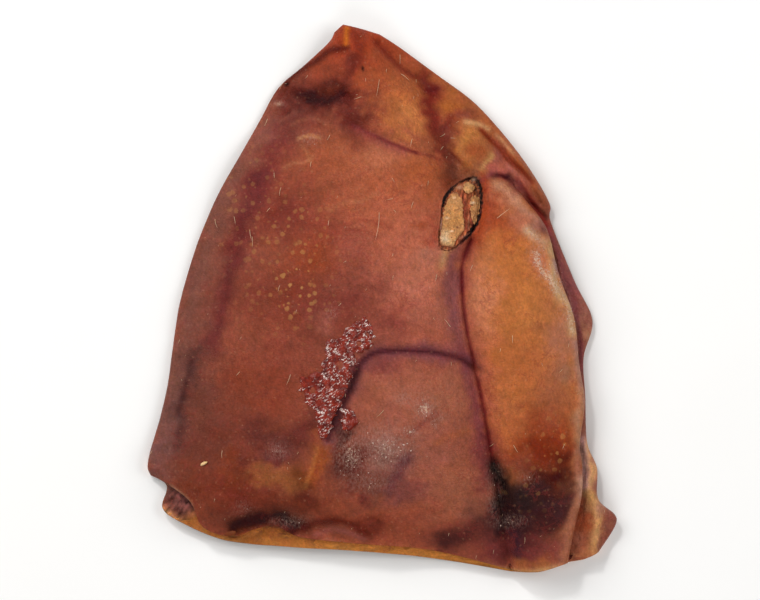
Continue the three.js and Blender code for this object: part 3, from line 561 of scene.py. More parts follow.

# Stains, with painted shade and sheen among them, laid over the ground in this order: middle or line, radii
# or half width in mm, colour, strength
STAINS_SHADE_AND_SHEEN = [
    # Broad tones of the blade, from the tip down
    ([-3, 45], [18, 11], "#9c3a20", 0.9),
    ([-6.5, 48.5], [5, 5], "#8a3018", 0.6),
    ([0.5, 42], [9, 7], "#9c4c32", 0.7),
    ([-10, 42.3], [7, 4.4], "#8e3e26", 0.8),
    ([4.5, 35], [11, 12], "#a85c34", 0.95),
    ([6.2, 32.6], [7, 6], "#cc8048", 0.95),
    ([13.4, 35.5], [5, 5], "#b0642e", 0.9),
    ([-2, 21], [24, 15], "#a05438", 0.9),
    ([-0.5, 26], [11, 4.6], "#bc7052", 0.9),
    ([7.5, 22.5], [7, 6], "#a6552e", 0.7),
    ([1.2, 28.4], [5, 2.4], "#b4604c", 0.6),
    ([-11, 27], [12, 7], "#974d30", 0.7),
    ([-18, 32.6], [8, 8], "#7c483e", 0.75),
    ([-28, 20], [10, 18], "#774236", 0.7),
    ([-16, 18], [12, 12], "#8b412d", 0.7),
    ([-17.5, 15], [10, 7], "#6c2c26", 0.7),
    ([-8.2, 11.2], [7, 5], "#702c24", 0.65),
    ([9.9, -3.4], [5, 4], "#bc6e56", 0.7),
    ([2, 11], [16, 14], "#b86448", 0.8),
    ([6.5, 3], [11, 13], "#b86c56", 0.88),
    ([4, -5.5], [14, 6], "#a85a46", 0.8),
    ([-4.5, 6], [9, 12], "#8c483c", 0.7),
    ([-12.5, 7.5], [8, 7], "#8b3d22", 0.7),
    ([-17.5, 0], [11, 9], "#793526", 0.85),
    ([-9.5, -3], [9, 9], "#70332b", 0.9),
    ([-23.5, 1], [7, 7], "#76382c", 0.7),
    ([-4, -0.5], [6, 5], "#7a3832", 0.6),
    ([1.4, -4.8], [5, 4], "#76342e", 0.75),
    ([-10.4, -4.4], [3.4, 3], "#a05c4c", 0.8),
    ([-16, -11], [14, 9], "#854237", 0.6),
    ([-22, -17], [18, 11], "#823b29", 0.8),
    ([-34, 2], [9, 30], "#764237", 0.8),
    ([-35.5, -13], [4, 12], "#6c4038", 0.6),
    ([-29, -25], [12, 12], "#6c3428", 0.85),
    ([-36.5, -28.5], [8, 9], "#6c382e", 0.85),
    ([-33.5, -33], [9, 7], "#6f3320", 0.8),
    ([-26, -36.5], [15, 9], "#5e241a", 0.9),
    ([-32, -39], [8, 7], "#7e3e2c", 0.8),
    ([-8.5, -37], [10, 6], "#823e2a", 0.7),
    ([3, -40.5], [18, 8], "#8a412a", 0.85),
    ([12, -42.5], [12, 5], "#7c382b", 0.7),
    # The dome inside the arc
    ([5.2, -24], [21, 24], "#9b5644", 0.95),
    ([2.5, -16.5], [12, 6], "#a6604a", 0.7),
    ([-0.4, -12.2], [6, 3], "#7a3a38", 0.7),
    ([12, -18], [8, 8], "#a06048", 0.7),
    ([13, -34], [9, 10], "#9a5b42", 0.7),
    # Grey haze low on the dome: partly dusty grains, partly a painted sheen
    ([0.6, -27.6], [8, 6], "#80584e", 0.8),
    ([1, -33], [4, 5], "#7a5048", 0.6),
    ([9, -30], [5, 9], "#a05a48", 0.6),
    ([-5.8, -30], [5.4, 7], "#4a1e1a", 0.85),
    ([-7.6, -23.8], [2.8, 5], "#3c1816", 0.85),
    ([-2.5, -34.4], [8, 4], "#66332a", 0.75),
    ([-1.7, -41.2], [5, 3], "#60261c", 0.8),
    ([-17.5, -41.6], [6, 2], "#4c2220", 0.7),
    ([15.4, -38.4], [4, 3.4], "#a4604a", 0.6),
    ([[4.4, -29], [3.2, -31.5], [1.6, -34.5]], 2.2, "#5c2e34", 0.7),
    ([4.8, -34.8], [6, 4], "#6e3a38", 0.6),
    ([-3, -36.5], [1.6, 1.4], "#532220", 0.8),
    ([-4.6, -29.4], [2.4, 2.8], "#5e2420", 0.45),
    ([[10, -20.8], [7, -22.8], [5, -24.8]], 0.9, "#7a3a2e", 0.7),
    ([[15.5, -24], [12, -25], [10, -26.2]], 1, "#a2583a", 0.7),
    # Between the crust and the base
    ([[-22.5, -24.5], [-18, -26.5], [-14.5, -24.5], [-12.6, -22.6]], 4.4, "#5a2a25", 0.85),
    ([-19.5, -29], [5, 2.2], "#59292a", 0.8),
    ([-25, -29.5], [2.2, 3.2], "#5a2620", 0.7),
    ([-27, -31], [4, 5], "#7c361e", 0.6),
    ([[-22.5, -32.4], [-18.5, -32], [-15.5, -34]], 3.2, "#8f5430", 0.85),
    ([-14.8, -32.2], [1.8, 3.4], "#62341f", 0.8),
    ([-15, -37.5], [10, 3], "#5c281b", 0.7),
    ([[-10.6, -25], [-10.9, -28.5], [-12.4, -32], [-12.8, -33]], 2.7, "#924823", 0.9),
    ([-13.6, -35.6], [3.4, 3], "#54241c", 0.85),
    ([[-11.6, -27], [-12.4, -30], [-13.8, -34.2]], 0.6, "#b5713e", 0.55),
    ([[-9, -24], [-8.4, -28], [-8, -32]], 1.2, "#5a2a24", 0.7),
    # The left streak, and the grey-brown edge outside it, whose grey is partly a painted sheen
    # Grey along the left edge: the skin's own tone and a painted sheen
    ([[-21.8, 29.8], [-28.3, 19.8], [-32.5, 7], [-35.6, -5.7], [-38.5, -20.3], [-41, -31.2]], 4, "#7d5045",
     0.5),
    ([-21.5, 31], [3, 4], "#9a5c4c", 0.5),
    ([[-18.5, 29], [-20.5, 24.5], [-22.5, 19.5]], 4.4, "#6f2a29", 0.7),
    ([[-22, 22], [-24.2, 16.5], [-26.2, 9.5], [-28, 3.5], [-29.4, -3], [-31.2, -9]], 3, "#622728", 0.75),
    ([-32.3, -18], [5, 12], "#66392f", 0.65),
    ([[-34.2, -10], [-34.9, -13], [-35.9, -17.2], [-37, -21.2], [-36.4, -24.6], [-37.2, -27]], 2.8,
     "#52302c", 0.75),
    ([[-34.6, -11], [-35.9, -16.4], [-37.2, -21]], 0.8, "#3f201e", 0.6),
    ([-36.7, -23.8], [1.8, 3.2], "#45201e", 0.6),
    ([-41, -28], [3, 9], "#744a47", 0.7),
    ([-39.2, -19], [4, 14], "#704a44", 0.6),
    # The edge of the tip, its fold and the neck
    ([[-6.4, 45.6], [-9.5, 45.1], [-11.6, 43.6], [-14.4, 42], [-17, 40.2]], 1.2, "#4c180e", 0.8),
    ([[-6.3, 49.2], [-6.4, 47.8], [-6.4, 46.4]], 0.9, "#bc661e", 0.85),
    ([[-4.4, 48], [-4, 45], [-5.4, 42]], 2, "#7c3022", 0.7),
    ([[-5.3, 43.5], [-6, 41], [-6.4, 38.4]], 1.9, "#5c241e", 0.6),
    # Painted shade in the tip's fold: a wide dark wash and its darkest core
    ([[-17, 37.4], [-13, 36.6], [-8, 36.2], [-5.6, 34], [-4.2, 31.6]], 5.4, "#5c241e", 0.85),
    ([[-14.8, 36.5], [-11.4, 36.4], [-7.4, 37]], 3, "#280a08", 0.82),
    ([-7.8, 34.6], [4, 3], "#54201c", 0.75),
    ([-13.6, 31.6], [4, 3], "#78352a", 0.6),
    ([[-15, 35.2], [-14.4, 33.6], [-16.5, 31.5]], 2.6, "#642c26", 0.6),
    ([[-5.2, 31.4], [-2, 29.8], [1, 28.4], [4, 27.2], [6.4, 26.4]], 0.6, "#5e2023", 0.8),
    ([[6.4, 26.4], [8.4, 26], [10.4, 25.4]], 0.6, "#6a2a26", 0.5),
    ([[-4.6, 30.6], [-0.6, 28.6], [4, 26.6]], 1.5, "#8a4440", 0.5),
    ([[-1, 46.6], [1.4, 44.2], [3.6, 42], [6.4, 40.4], [8.4, 40.4]], 1, "#6f2a22", 0.6),
    ([[8.6, 40.8], [9.2, 38.4], [9, 35], [9.6, 31.4], [11.2, 29.4], [12, 26.8]], 2.7, "#722620", 0.9),
    ([9.2, 38.8], [2.6, 2.8], "#561a20", 0.85),
    ([[11.4, 30.2], [12, 27.5], [12.6, 24.8], [13, 22.6]], 2.3, "#5f2a22", 0.8),
    (PUFF_TOP, 1.7, "#66262a", 0.8),
    ([13.4, 22.4], [3.4, 2.4], "#5a3022", 0.75),
    ([12.8, 31.8], [2, 2.6], "#682018", 0.8),
    ([16.8, 23.4], [3.4, 3], "#7a4832", 0.7),
    ([-3.4, 41.7], [0.35, 0.6], "#0c0606", 1),
    ([-17.3, 39.2], [0.7, 0.6], "#1c0a0a", 1),
    ([-18.8, 35.6], [1.2, 0.6], "#b08a70", 0.7),
    ([[-15.2, 29], [-13.2, 29.6], [-11.2, 29.2]], 0.5, "#c8905c", 0.6),
    ([[-16.4, 31.6], [-14.4, 32.6], [-12, 32.6], [-10.2, 31.6]], 0.5, "#b0704e", 0.3),
    ([[-18, 23.6], [-16, 24.6], [-13.8, 24.8], [-12.4, 25.8]], 0.5, "#c08660", 0.38),
    ([[-14.6, 27.8], [-13.6, 26.6], [-13.2, 25.2]], 0.5, "#bc8054", 0.3),
    ([[-9.6, 15.8], [-6.8, 17.2], [-3.6, 17.6], [-0.6, 19.2]], 0.5, "#bc7c5a", 0.35),
    ([[-7.6, 13.2], [-3, 14], [1.6, 12.8]], 0.6, "#84382a", 0.45),
    ([[-9, 11.8], [-4.6, 12.4], [-1, 11.2]], 0.5, "#7c3226", 0.4),
    # The puff, and the folds from it to the crevice, with painted shade in the folds and where the crevice
    # starts
    ([[9.8, 41.6], [14, 38.6], [18.6, 34.2], [22.4, 29.6], [26.6, 23.6], [30, 18]], 3.4, "#9c5432", 0.9),
    ([16.2, 29.6], [5.4, 5.6], "#b8743e", 0.95),
    ([15.2, 27], [3, 4], "#ae6e3a", 0.7),
    ([[15.4, 32.2], [17.4, 31.9], [19.4, 31]], 0.9, "#c99a68", 0.8),
    ([17.6, 26.8], [3.4, 2.4], "#9a4c2c", 0.8),
    ([19.3, 24.4], [1.6, 3.2], "#c09a58", 0.85),
    ([21.4, 26.2], [2.2, 2.4], "#8a5052", 0.7),
    ([21.4, 23.6], [3, 2.4], "#b45c54", 0.85),
    # Dark line of the puff's fold: its dark colour and painted shade in the cleft
    (PUFF_FOLD, 0.8, "#7a2c1c", 0.85),
    ([[21, 29.8], [22.2, 28.6], [24, 26.4]], 0.7, "#c09068", 0.6),
    ([[23, 24.2], [24.6, 22.6], [26.4, 21]], 1.2, "#a8605a", 0.6),
    # Dark red line on towards the crevice: its colour and painted shade
    ([[24.6, 21.2], [26.4, 19], [28.4, 16.6]], 1.2, "#7c1e18", 0.85),
    ([22.5, 26.1], [1.6, 1.6], "#a04a34", 0.6),
    # The darkest lines where the crevice starts: painted shadow of the crevice
    ([[20.4, 22.2], [21.8, 22.4], [23.4, 21.4]], 0.8, "#48181e", 0.85),
    ([[23, 22.2], [24.6, 20.6], [26.2, 19]], 1.1, "#34121a", 0.95),
    ([[26, 19], [27.8, 17], [29.4, 14.8]], 0.7, "#5c1c1e", 0.9),
    ([[17.8, 21.2], [19, 21.9], [20, 22.6]], 1, "#7a3640", 0.8),
    # Beside the main crease and round the wound
    ([[18.8, 20], [19.4, 16], [17.8, 11.6]], 3.4, "#8c3420", 0.9),
    ([[13.2, 7.6], [13, 3], [13.2, -3], [14, -7]], 2.6, "#7c464a", 0.8),
    ([12.6, -8.6], [3, 2], "#98504a", 0.6),
    ([[14.8, -9], [16.2, -14.5], [17.4, -20], [18.6, -26]], 2.2, "#7a3a42", 0.8),
    ([[18.4, -26], [18.6, -29], [19.4, -32]], 3, "#703436", 0.8),
    ([[15.6, 8.8], [15.3, 3], [15.6, -3], [17, -10], [19, -18], [20.6, -25]], 1.9, "#ab5a44", 0.7),
    ([[16.6, 10.8], [16, 9.6], [15.2, 7.6]], 1.4, "#6a2828", 0.7),
    (ARC_LINE, 2.4, "#74404a", 0.75),
    # Dark line along the arc and its left foot: its colour, and painted shade under the blade's overhang
    (ARC_LINE, 0.8, "#421a20", 0.85),
    ([[-4.4, -13], [-6, -17], [-7.6, -19.8], [-9, -22.6]], 1.3, "#34181a", 0.85),
    (MAIN_CREASE, 0.6, "#601a20", 0.9),
    ([[12.3, 9.4], [11.6, 8.6], [11.3, 7.4], [10.8, 6]], 1.3, "#bf8658", 0.95),
    ([12.2, 20.4], [2.2, 2.4], "#5e2c1e", 0.7),
    ([8.8, 8.2], [2.4, 3.2], "#b07660", 0.7),
    ([6.8, 13], [2.6, 1.4], "#8a3f28", 0.7),
    ([9.4, 11.5], [1.6, 6], "#9a4432", 0.7),
    # The dark bruise at the foot of the band
    ([29.5, -27.5], [11, 6], "#762513", 0.92),
    ([29.8, -22.4], [9, 5], "#83341f", 0.8),
    ([33, -29.2], [3, 3], "#5c2014", 0.85),
    ([[21.4, -28.5], [25, -30]], 2.6, "#8a4030", 0.6),
    ([29.4, -35.8], [13, 8.5], "#3c1e1e", 0.97),
    ([31.5, -38.6], [8.5, 5.5], "#452324", 0.9),
    ([31, -32.4], [7, 3.5], "#42140f", 0.9),
    ([30, -37.6], [5, 2.4], "#452629", 0.6),
    ([22.5, -39.5], [7.5, 4.6], "#241b1f", 0.95),
    ([[20.6, -30.2], [21.6, -32.8], [22.4, -36], [22.6, -39]], 2, "#171112", 0.97),
    ([25, -36.5], [6, 5], "#2a1d1e", 0.9),
    ([26.5, -45.8], [16, 4.6], "#62292a", 0.92),
    ([25.5, -42], [10, 4.8], "#2e1618", 0.92),
    ([27.6, -40.2], [8, 4], "#3a1c1e", 0.85),
    ([18.8, -41.2], [4, 3], "#44201f", 0.7),
    ([27.6, -44.6], [4, 3], "#6e2e2e", 0.7),
    ([[24.2, -42.5], [24.6, -44.5], [24.6, -46.8]], 1.8, "#38202a", 0.75),
    ([31.4, -46], [5, 4.6], "#86463c", 0.85),
    ([[19.5, -44.5], [22, -46.5]], 3, "#6c3230", 0.7),
    ([[10.8, -44.6], [13.4, -43.4], [15.4, -42.6]], 2.6, "#43201f", 0.85),
    # Along the base
    # Painted shadow under the wavy edge of the upper skin, and the dark line along its fold
    ([[-26.5, -42], [-23.5, -40.2], [-19.5, -39.7], [-16.5, -40.8], [-13.6, -41.8]], 2.3, "#2a100d", 0.92),
    ([[-14, -41.7], [-10, -40.4], [-6.5, -40.6], [-3, -42.6]], 1.6, "#561c12", 0.85),
    ([[-12, -43], [-9, -42], [-6, -42.6], [-3, -43.8]], 0.9, "#94524a", 0.7),
    ([[-27.6, -44.2], [-24, -43.4], [-20.4, -43.1], [-17.6, -43.8]], 1.8, "#a25c2e", 0.95),
    ([[-15.6, -44.2], [-12, -44.7], [-9, -44.6]], 1.2, "#ac6a4e", 0.9),
    ([[-26, -45], [-15, -45.7], [-4, -46.1], [8, -47.2]], 1.8, "#be763c", 0.95),
    ([[12, -47.9], [20, -49.2], [26, -49.9], [33, -48.6]], 1.1, "#bb8a5c", 0.85),
    ([[-38.4, -34.2], [-36.4, -35.6], [-34.8, -37.2], [-34.2, -39]], 0.7, "#947058", 0.6),
]
BAND_STAINS_AND_HIGHLIGHT = [
    ([21.4, 13.6], [10, 5], "#a04628", 0.85),
    ([23, 18.6], [6, 4], "#b2684c", 0.8),
    ([24.8, 20.2], [3, 2], "#6c3030", 0.85),
    ([22.5, 6], [7, 9], "#b96c38", 0.8),
    ([18.5, 0], [5, 13], "#be7656", 0.85),
    ([19, -12], [3, 8], "#b86048", 0.6),
    ([27.5, -2], [6, 9], "#bd7440", 0.8),
    ([25.5, -12], [10, 9], "#b46438", 0.8),
    ([22, -21], [4, 8], "#b4663e", 0.8),
    ([31, -17.5], [7, 7], "#9e583c", 0.8),
    ([32.6, -8], [5, 9], "#ad6c54", 0.85),
    ([33.4, -13.6], [2.4, 3], "#86604e", 0.6),
    ([28.8, -5], [1.4, 1.4], "#8a4c30", 0.5),
    ([[20.6, 20.8], [22.4, 19.8], [24, 18.2], [25.8, 16.2], [27.6, 14.2]], 1.7, "#bc866a", 0.8),
    ([28.6, 13.2], [4, 4], "#8c5a50", 0.85),
    ([29.8, 12.4], [1.6, 3], "#603534", 0.6),
    ([24.6, 14.2], [3.4, 3], "#b8705a", 0.7),
    # Pale lines along the lip's rounded edge: its pale tone and a painted highlight
    ([[26.4, 12.4], [28, 11], [29.4, 10.2]], 1.5, "#c29a74", 0.85),
    ([29.2, 7.4], [3, 4], "#b56444", 0.8),
    # The same along the lower lip: pale tone and painted highlight
    ([[30.4, 9.6], [31.4, 7.6], [31.2, 5], [31.8, 2.6], [33, 0.2], [34.2, -2.4], [34.8, -6]], 1.7,
     "#c0966a", 0.9),
    ([[31.3, 7], [31.8, 5.6], [32, 4.6]], 0.6, "#7a5058", 0.7),
    ([[32.8, 3.2], [33.6, 1.8], [34.3, 0.2]], 0.5, "#9a6670", 0.7),
    # Pale grey-pink end of the lip's edge: its tone and a painted highlight
    ([[35.4, -8], [35.8, -12.6], [36.4, -16]], 1.4, "#a07468", 0.8),
    ([[36.6, -17.4], [36, -21], [35.8, -26], [35.9, -28]], 1.7, "#a5765a", 0.85),
    ([[35.8, -28], [35.9, -30.4], [36.2, -32.4]], 1.7, "#a2644e", 0.8),
    ([[36.3, -33], [36.2, -37.2]], 1.8, "#be9078", 0.85),
    ([[35.9, -36.6], [34.6, -40.2], [33.6, -44], [33.4, -47.4]], 1.9, "#a5664c", 0.8),
]
STRIP_STAINS_AND_SHADE = [
    ([34.5, 0.5], [5, 16], "#90504e", 0.9),
    ([37.6, -3], [2.4, 9], "#9c6452", 0.8),
    ([30.6, 15], [1.4, 6], "#8c4838", 0.8),
    # Painted shadow of the crevice where it starts under the lip
    ([[25.6, 19.4], [27.6, 17.2], [29.4, 14.8], [30.6, 12.4]], 0.8, "#842a26", 0.8),
    ([37.6, -7], [2, 3], "#b07a58", 0.8),
    # Dark line just beyond the lip: painted shadow of the crevice
    ([[30.6, 12.6], [32.2, 8.4], [33.2, 4.4], [35, 0], [35.8, -4], [36.4, -8], [36.6, -13]], 0.7,
     "#7c3e40", 0.8),
    ([37.6, -30], [4, 9], "#b87e66", 0.9),
    ([[37.7, -31.4], [37.4, -32.8]], 0.7, "#6c3a44", 0.7),
    ([36.6, -41], [4, 9], "#96462a", 0.9),
    (RIM[0], 1.8, "#cc985f", 0.95),
    ([[36.6, -25.8], [36.9, -28.5], [37, -31.2], [37, -34.2]], 1.4, "#d09c94", 0.85),
    ([36.2, -44], [1.8, 2.6], "#b46e56", 0.7),
    ([39.9, -38.6], [2, 2], "#c49074", 0.7),
    ([42.4, -41], [4.4, 9], "#865041", 0.9),
    ([37, -47], [6, 2], "#b3714a", 0.7),
]

# The bare flesh of the wound, and the painted shade of the gap in it
WOUND_GROUND = "#9c5638"
WOUND_GAP_SHADE = "#1a0a0a"
# Painted shade in the gap round the gristle, by angle in degrees: the share of the reach where it starts, and
# how dark it is
GAP_SHADE = [(-180, 0.97, 0.3), (-140, 0.97, 0.3), (-100, 0.93, 0.45), (-70, 0.8, 1), (-30, 0.74, 1), (0, 0.84, 1),
       (60, 0.87, 1), (90, 0.93, 0.7), (110, 0.84, 1), (140, 0.84, 1), (160, 0.93, 0.7), (180, 0.97, 0.3)]
FLESH_STAINS = [
    ([16, 20.2], [2.6, 2], "#8c5034", 0.8),
    ([[14.6, 19], [15.1, 17.4], [15.3, 15], [15.5, 12.6]], 0.6, "#83402f", 0.8),
    ([[15.9, 12.4], [15.8, 13.8], [16.1, 15.4]], 0.25, "#b47a62", 0.7),
    ([[16.7, 12.4], [16.4, 13.6], [16.2, 14.8]], 0.4, "#8c4638", 0.8),
]
WOUND_EDGE_STAINS = [
    ([[10.9, 14.6], [10.75, 13.2], [10.8, 12]], 0.2, "#dcc6ba", 0.7),
    ([[14.2, 10.9], [15.2, 11.4], [16, 11.9]], 0.28, "#b4846c", 0.6),
    ([14.3, 20.2], [1.5, 0.6], "#c09a7c", 0.7),
    ([16.8, 21.7], [0.9, 0.6], "#d0b49c", 0.7),
]
GRISTLE_STAINS = [
    ([12.8, 14], [2.4, 6], "#cc8c4c", 0.7),
    ([15.9, 20.2], [2, 2], "#d09c64", 0.8),
    ([17, 16.5], [1.6, 4], "#cc9058", 0.7),
    ([13.4, 18.2], [3, 2], "#c48c56", 0.6),
    ([11.3, 11], [2.2, 2], "#e0c29c", 0.9),
    ([12, 9.8], [3, 1], "#d09f6a", 0.8),
    ([13.8, 12.9], [0.35, 0.3], "#7a3f26", 0.9),
    ([12.7, 12.2], [0.6, 0.2], "#ead8c4", 0.8),
    ([11.9, 14.6], [0.8, 0.3], "#e6cdb0", 0.6),
    ([13.2, 18.3], [0.5, 0.3], "#e6cdb0", 0.6),
    ([16.6, 17.4], [0.8, 0.4], "#ead8c4", 0.7),
    ([16.5, 17], [0.5, 0.2], "#3a1c18", 0.8),
]
GRISTLE_RIND = "#8a4c30"
RIND = ((0.9, 1), 0.8)  # shares of the reach over which the rind shows, and how much

# Where dried fat and foam lie as pale crumbs, and where pale specks and a film are painted glints and sheen:
# middle or line, radii or half width in mm, share covered
CRUMBLY = [
    ([[27.9, 8.2], [28.6, 6], [29.6, 4.6], [30.8, 3.2], [31.8, 1.4]], 2.2, 0.72),
    ([[31.2, 6.4], [31.9, 3.2], [33.2, 0.2], [34.3, -3], [34.8, -6]], 1.8, 0.6),
    ([[28.8, 9.8], [29.4, 8.6]], 1.4, 0.5),
    ([[26.4, 12.4], [28.4, 10.8]], 1.6, 0.58),
    ([33, -3], [3, 5], 0.35),
    ([7.8, -19.8], [3.2, 3.4], 0.7),
    ([5.2, -24], [3, 1.6], 0.62),
    ([10.8, -21.6], [1.4, 1.2], 0.6),
    ([9.6, -22.4], [1.6, 2], 0.5),
    ([4, -18], [3, 2], 0.45),
    ([0.5, -27], [9, 7], 0.55),
    ([-2.5, -33], [8, 4], 0.35),
    ([-5.5, -28.5], [5, 7], 0.6),
    ([-18.8, -27.6], [3, 2.4], 0.48),
    ([[20.6, -31.5], [20.5, -38.5]], 2.4, 0.3),
    ([23, -40.5], [5, 2], 0.48),
    ([26.5, -32.5], [3, 1.6], 0.3),
    ([-16.5, -40.4], [5, 1.6], 0.48),
    ([-25, -38], [3, 2], 0.3),
    ([-13, 29], [3, 2], 0.36),
    ([-18.8, 35.6], [2, 1], 0.5),
    ([-9, -2.5], [2, 1.6], 0.5),
    ([11.2, 7.6], [0.9, 2.4], 0.36),
    ([[15, 11.3], [17, 13.4]], 0.8, 0.4),
]
# The longest bristles: root and end
LONG_BRISTLES = [
    ([20.9, 14.3], [23.4, 16.3]), ([11.6, 30], [11, 29]), ([11.4, 28], [10.7, 27]),
    ([12, 25.8], [11.5, 25.2]), ([-0.4, 39.8], [-1.3, 36]), ([-2.9, 40], [-2.9, 39.2]),
    ([3.3, 44], [3.3, 42]), ([3.5, 41], [5, 39.5]), ([-23.8, 12.4], [-23.2, 10.2]),
    ([-23.4, 11.5], [-22.8, 9.4]), ([-9.7, 14.5], [-10, 12]), ([-0.3, 15.5], [-0.4, 10]),
    ([20.3, -26.2], [18.9, -27]), ([23.8, -26.5], [24.8, -28]), ([12.6, -5.3], [11.3, -3.7]),
    ([-20.8, 33], [-21.6, 31]), ([-30.4, 14.8], [-29.8, 13]), ([-23, 42], [-22.6, 40.2]),
]
# A sliver of dried fat on the blade: place, half length, half width and half height in mm, turn in degrees
SLIVER = ([-32.3, -30], [1.1, 0.42, 0.3], 28)

# Tones down the cut face, from the upper skin at 0 to the lower one at 1, and the same in the mouth
CUT_COLOURS = [(0, "#a8704c"), (0.12, "#7c3e2c"), (0.3, "#4a2420"), (0.45, "#5c2c22"), (0.62, "#b06830"),
               (0.85, "#d4863e"), (1, "#d2843e")]
RIM_TONE = "#d2843e"  # the lower skin's cut edge
RIM_WIDTH = 4
RIM_STRENGTH = 0.95
# The first is painted shade over the left end of the mouth; the rest are tones of the cut face
CUT_STAINS_AND_SHADE = [([-39.4, -36], [3.4, 3.4], "#643a32", 0.9), ([-30, -42.5], [8, 3], "#a8663a", 0.7),
              ([-35, -41.2], [5, 2.4], "#98582e", 0.75),
              ([-21.5, -43.9], [12, 4], "#a45e30", 0.85), ([-27.4, -42.7], [2.6, 1.3], "#542a1a", 0.9)]
MOUTH_TONES = (-0.2, -0.1, 0.12, 0.19)  # shares of the way across between which the mouth's tones show
CUT_TONES = (0.8, 12)  # size in mm and seed of the unevenness of the tones, stretched from skin to skin
CUT_STRETCH = [1, 0.4]
CUT_UNEVEN = 0.06  # how much the tones of the cut face vary
MOUTH_UNEVEN = 0.2  # and how much more so in the mouth
MOUTH_COLOURS = [(0, "#a88a6a"), (0.1, "#7a4a3e"), (0.3, "#5c3430"), (0.86, "#6a3e3a"), (0.93, "#7c4e44"),
                 (0.97, "#865444"), (0.99, "#a46842"), (1, "#b07244")]
# Columns and rows over which the band's own ground and the painted shade of the crevice come in
BAND_TONES = ((1, 1.22), (0.2, 0.42))
# The underside takes this share of the stains and of the painted shade and sheen alike
UNDER_STAINS_SHADE_AND_SHEEN = 0.35  # share of the upper side's stains that shows on the underside
WANDER = 0.2  # mm that a stain's outline wanders, for each mm of its radius, and at most 1
WANDER_WAVES = ((9, 8), (3, 10))  # size in mm and seed of its two kinds of wave, the second half as strong
CRISP = 1.5  # stains up to this wide in mm keep their outline


def wash(xy, points, width):
    """1 at a line, or in the middle of an oval, falling off as a bell curve."""
    if np.ndim(points) == 1:
        offset = (xy - np.array(points) * PERCENT) / width
        return np.exp(-((offset**2).sum(-1)))
    return np.exp(-((distance(xy, points) / width) ** 2))


def paint(colours, xy, stains, share=1):
    """Lays stains, and marks of painted shade, sheen and highlight, over colours, each pulled towards its
    colour by its strength there. Their outlines wander a little, and the thinnest do not."""
    wander = drift(xy, *WANDER_WAVES[0]) + 0.5 * ripple(xy, *WANDER_WAVES[1])[..., None]
    for points, width, colour, strength in stains:
        widest = np.max(width)
        place = xy + wander * min(1, WANDER * widest) if widest > CRISP else xy
        cover = (share * strength * wash(place, points, width))[..., None]
        colours = colours + (shares(colour) - colours) * cover
    return colours


def skin_colours(xy, c, v, settings):
    """The painted colours of the upper side, as sRGB shares: the grounds, stained and given painted shade,
    sheen and highlights, and the layer that shows right of the lip."""
    v = np.broadcast_to(v, c.shape)
    folded = smooth(c, *BAND_TONES[0]) * smooth(v, *BAND_TONES[1])
    blade, band_ground, layer = (np.array(tone) for tone in (settings.blade, settings.band, settings.layer))
    colours = paint(blade + (band_ground - blade) * folded[..., None], xy, STAINS_SHADE_AND_SHEEN)
    band = paint(colours, xy, BAND_STAINS_AND_HIGHLIGHT)
    strip = paint(np.broadcast_to(layer, colours.shape), xy, STRIP_STAINS_AND_SHADE)
    return np.where((c < 2)[..., None], band, colours + (strip - colours) * opening(v)[..., None])


def cut_colours(x, across, share):
    """Colours down the cut face: skin, dark flesh, tan lower layer, and dark torn fibres in the mouth."""
    columns = []
    for stops in (CUT_COLOURS, MOUTH_COLOURS):
        tones = np.array([shares(colour) for _, colour in stops])
        columns.append(np.stack([np.interp(share, [at for at, _ in stops], tone) for tone in tones.T], -1))
    plain, mouth = columns
    place = np.stack(np.broadcast_arrays(x[None, :], CUT_PATTERN * share[:, None]), -1)
    open_part = between(across, *MOUTH_TONES)[None, :, None]
    fibres = (CUT_UNEVEN + MOUTH_UNEVEN * open_part) * ripple(place * CUT_STRETCH, *CUT_TONES)[..., None]
    return (plain[:, None] + (mouth - plain)[:, None] * open_part) * (1 + fibres)


def add(tree, kind, inputs=(), **settings):
    """Adds a node with its settings. inputs are values for its sockets, in their order or by name. A socket
    of another node is linked, and a whole node stands for its first output."""
    node = tree.nodes.new("ShaderNode" + kind)
    for name, value in settings.items():
        setattr(node, name, value)
    for name, value in inputs.items() if isinstance(inputs, dict) else enumerate(inputs):
        if isinstance(value, bpy.types.Node):
            value = value.outputs[0]
        if isinstance(value, bpy.types.NodeSocket):
            tree.links.new(value, node.inputs[name])
        else:
            node.inputs[name].default_value = value
    return node


def start_material(name):
    """An empty material, what adds a node to it, and places in the piece's own coordinates."""
    material = bpy.data.materials.new(name)
    material.use_nodes = True
    material.node_tree.nodes.clear()
    put = functools.partial(add, material.node_tree)
    return material, put, put("TexCoord").outputs["Object"]


def finish_material(material, put, sockets):
    """Adds the shader, with its links and its constants on its own sockets."""
    put("OutputMaterial", [put("BsdfPrincipled", sockets)])
    return material


def per_mm(size):
    """Scale of a pattern whose features are this many mm apart."""
    return 1 / (size * MM)


def rgba(colour):
    """A colour as a shader's socket takes it."""
    return (*linear(colour), 1)


MOTTLE_HUES = (0.1, 0.15, 0.45)  # how much red, green and blue go their own ways, as shares of brightness
MOTTLE_TURN = 0.25  # stretched layers lean this much from the ear's length, in radians


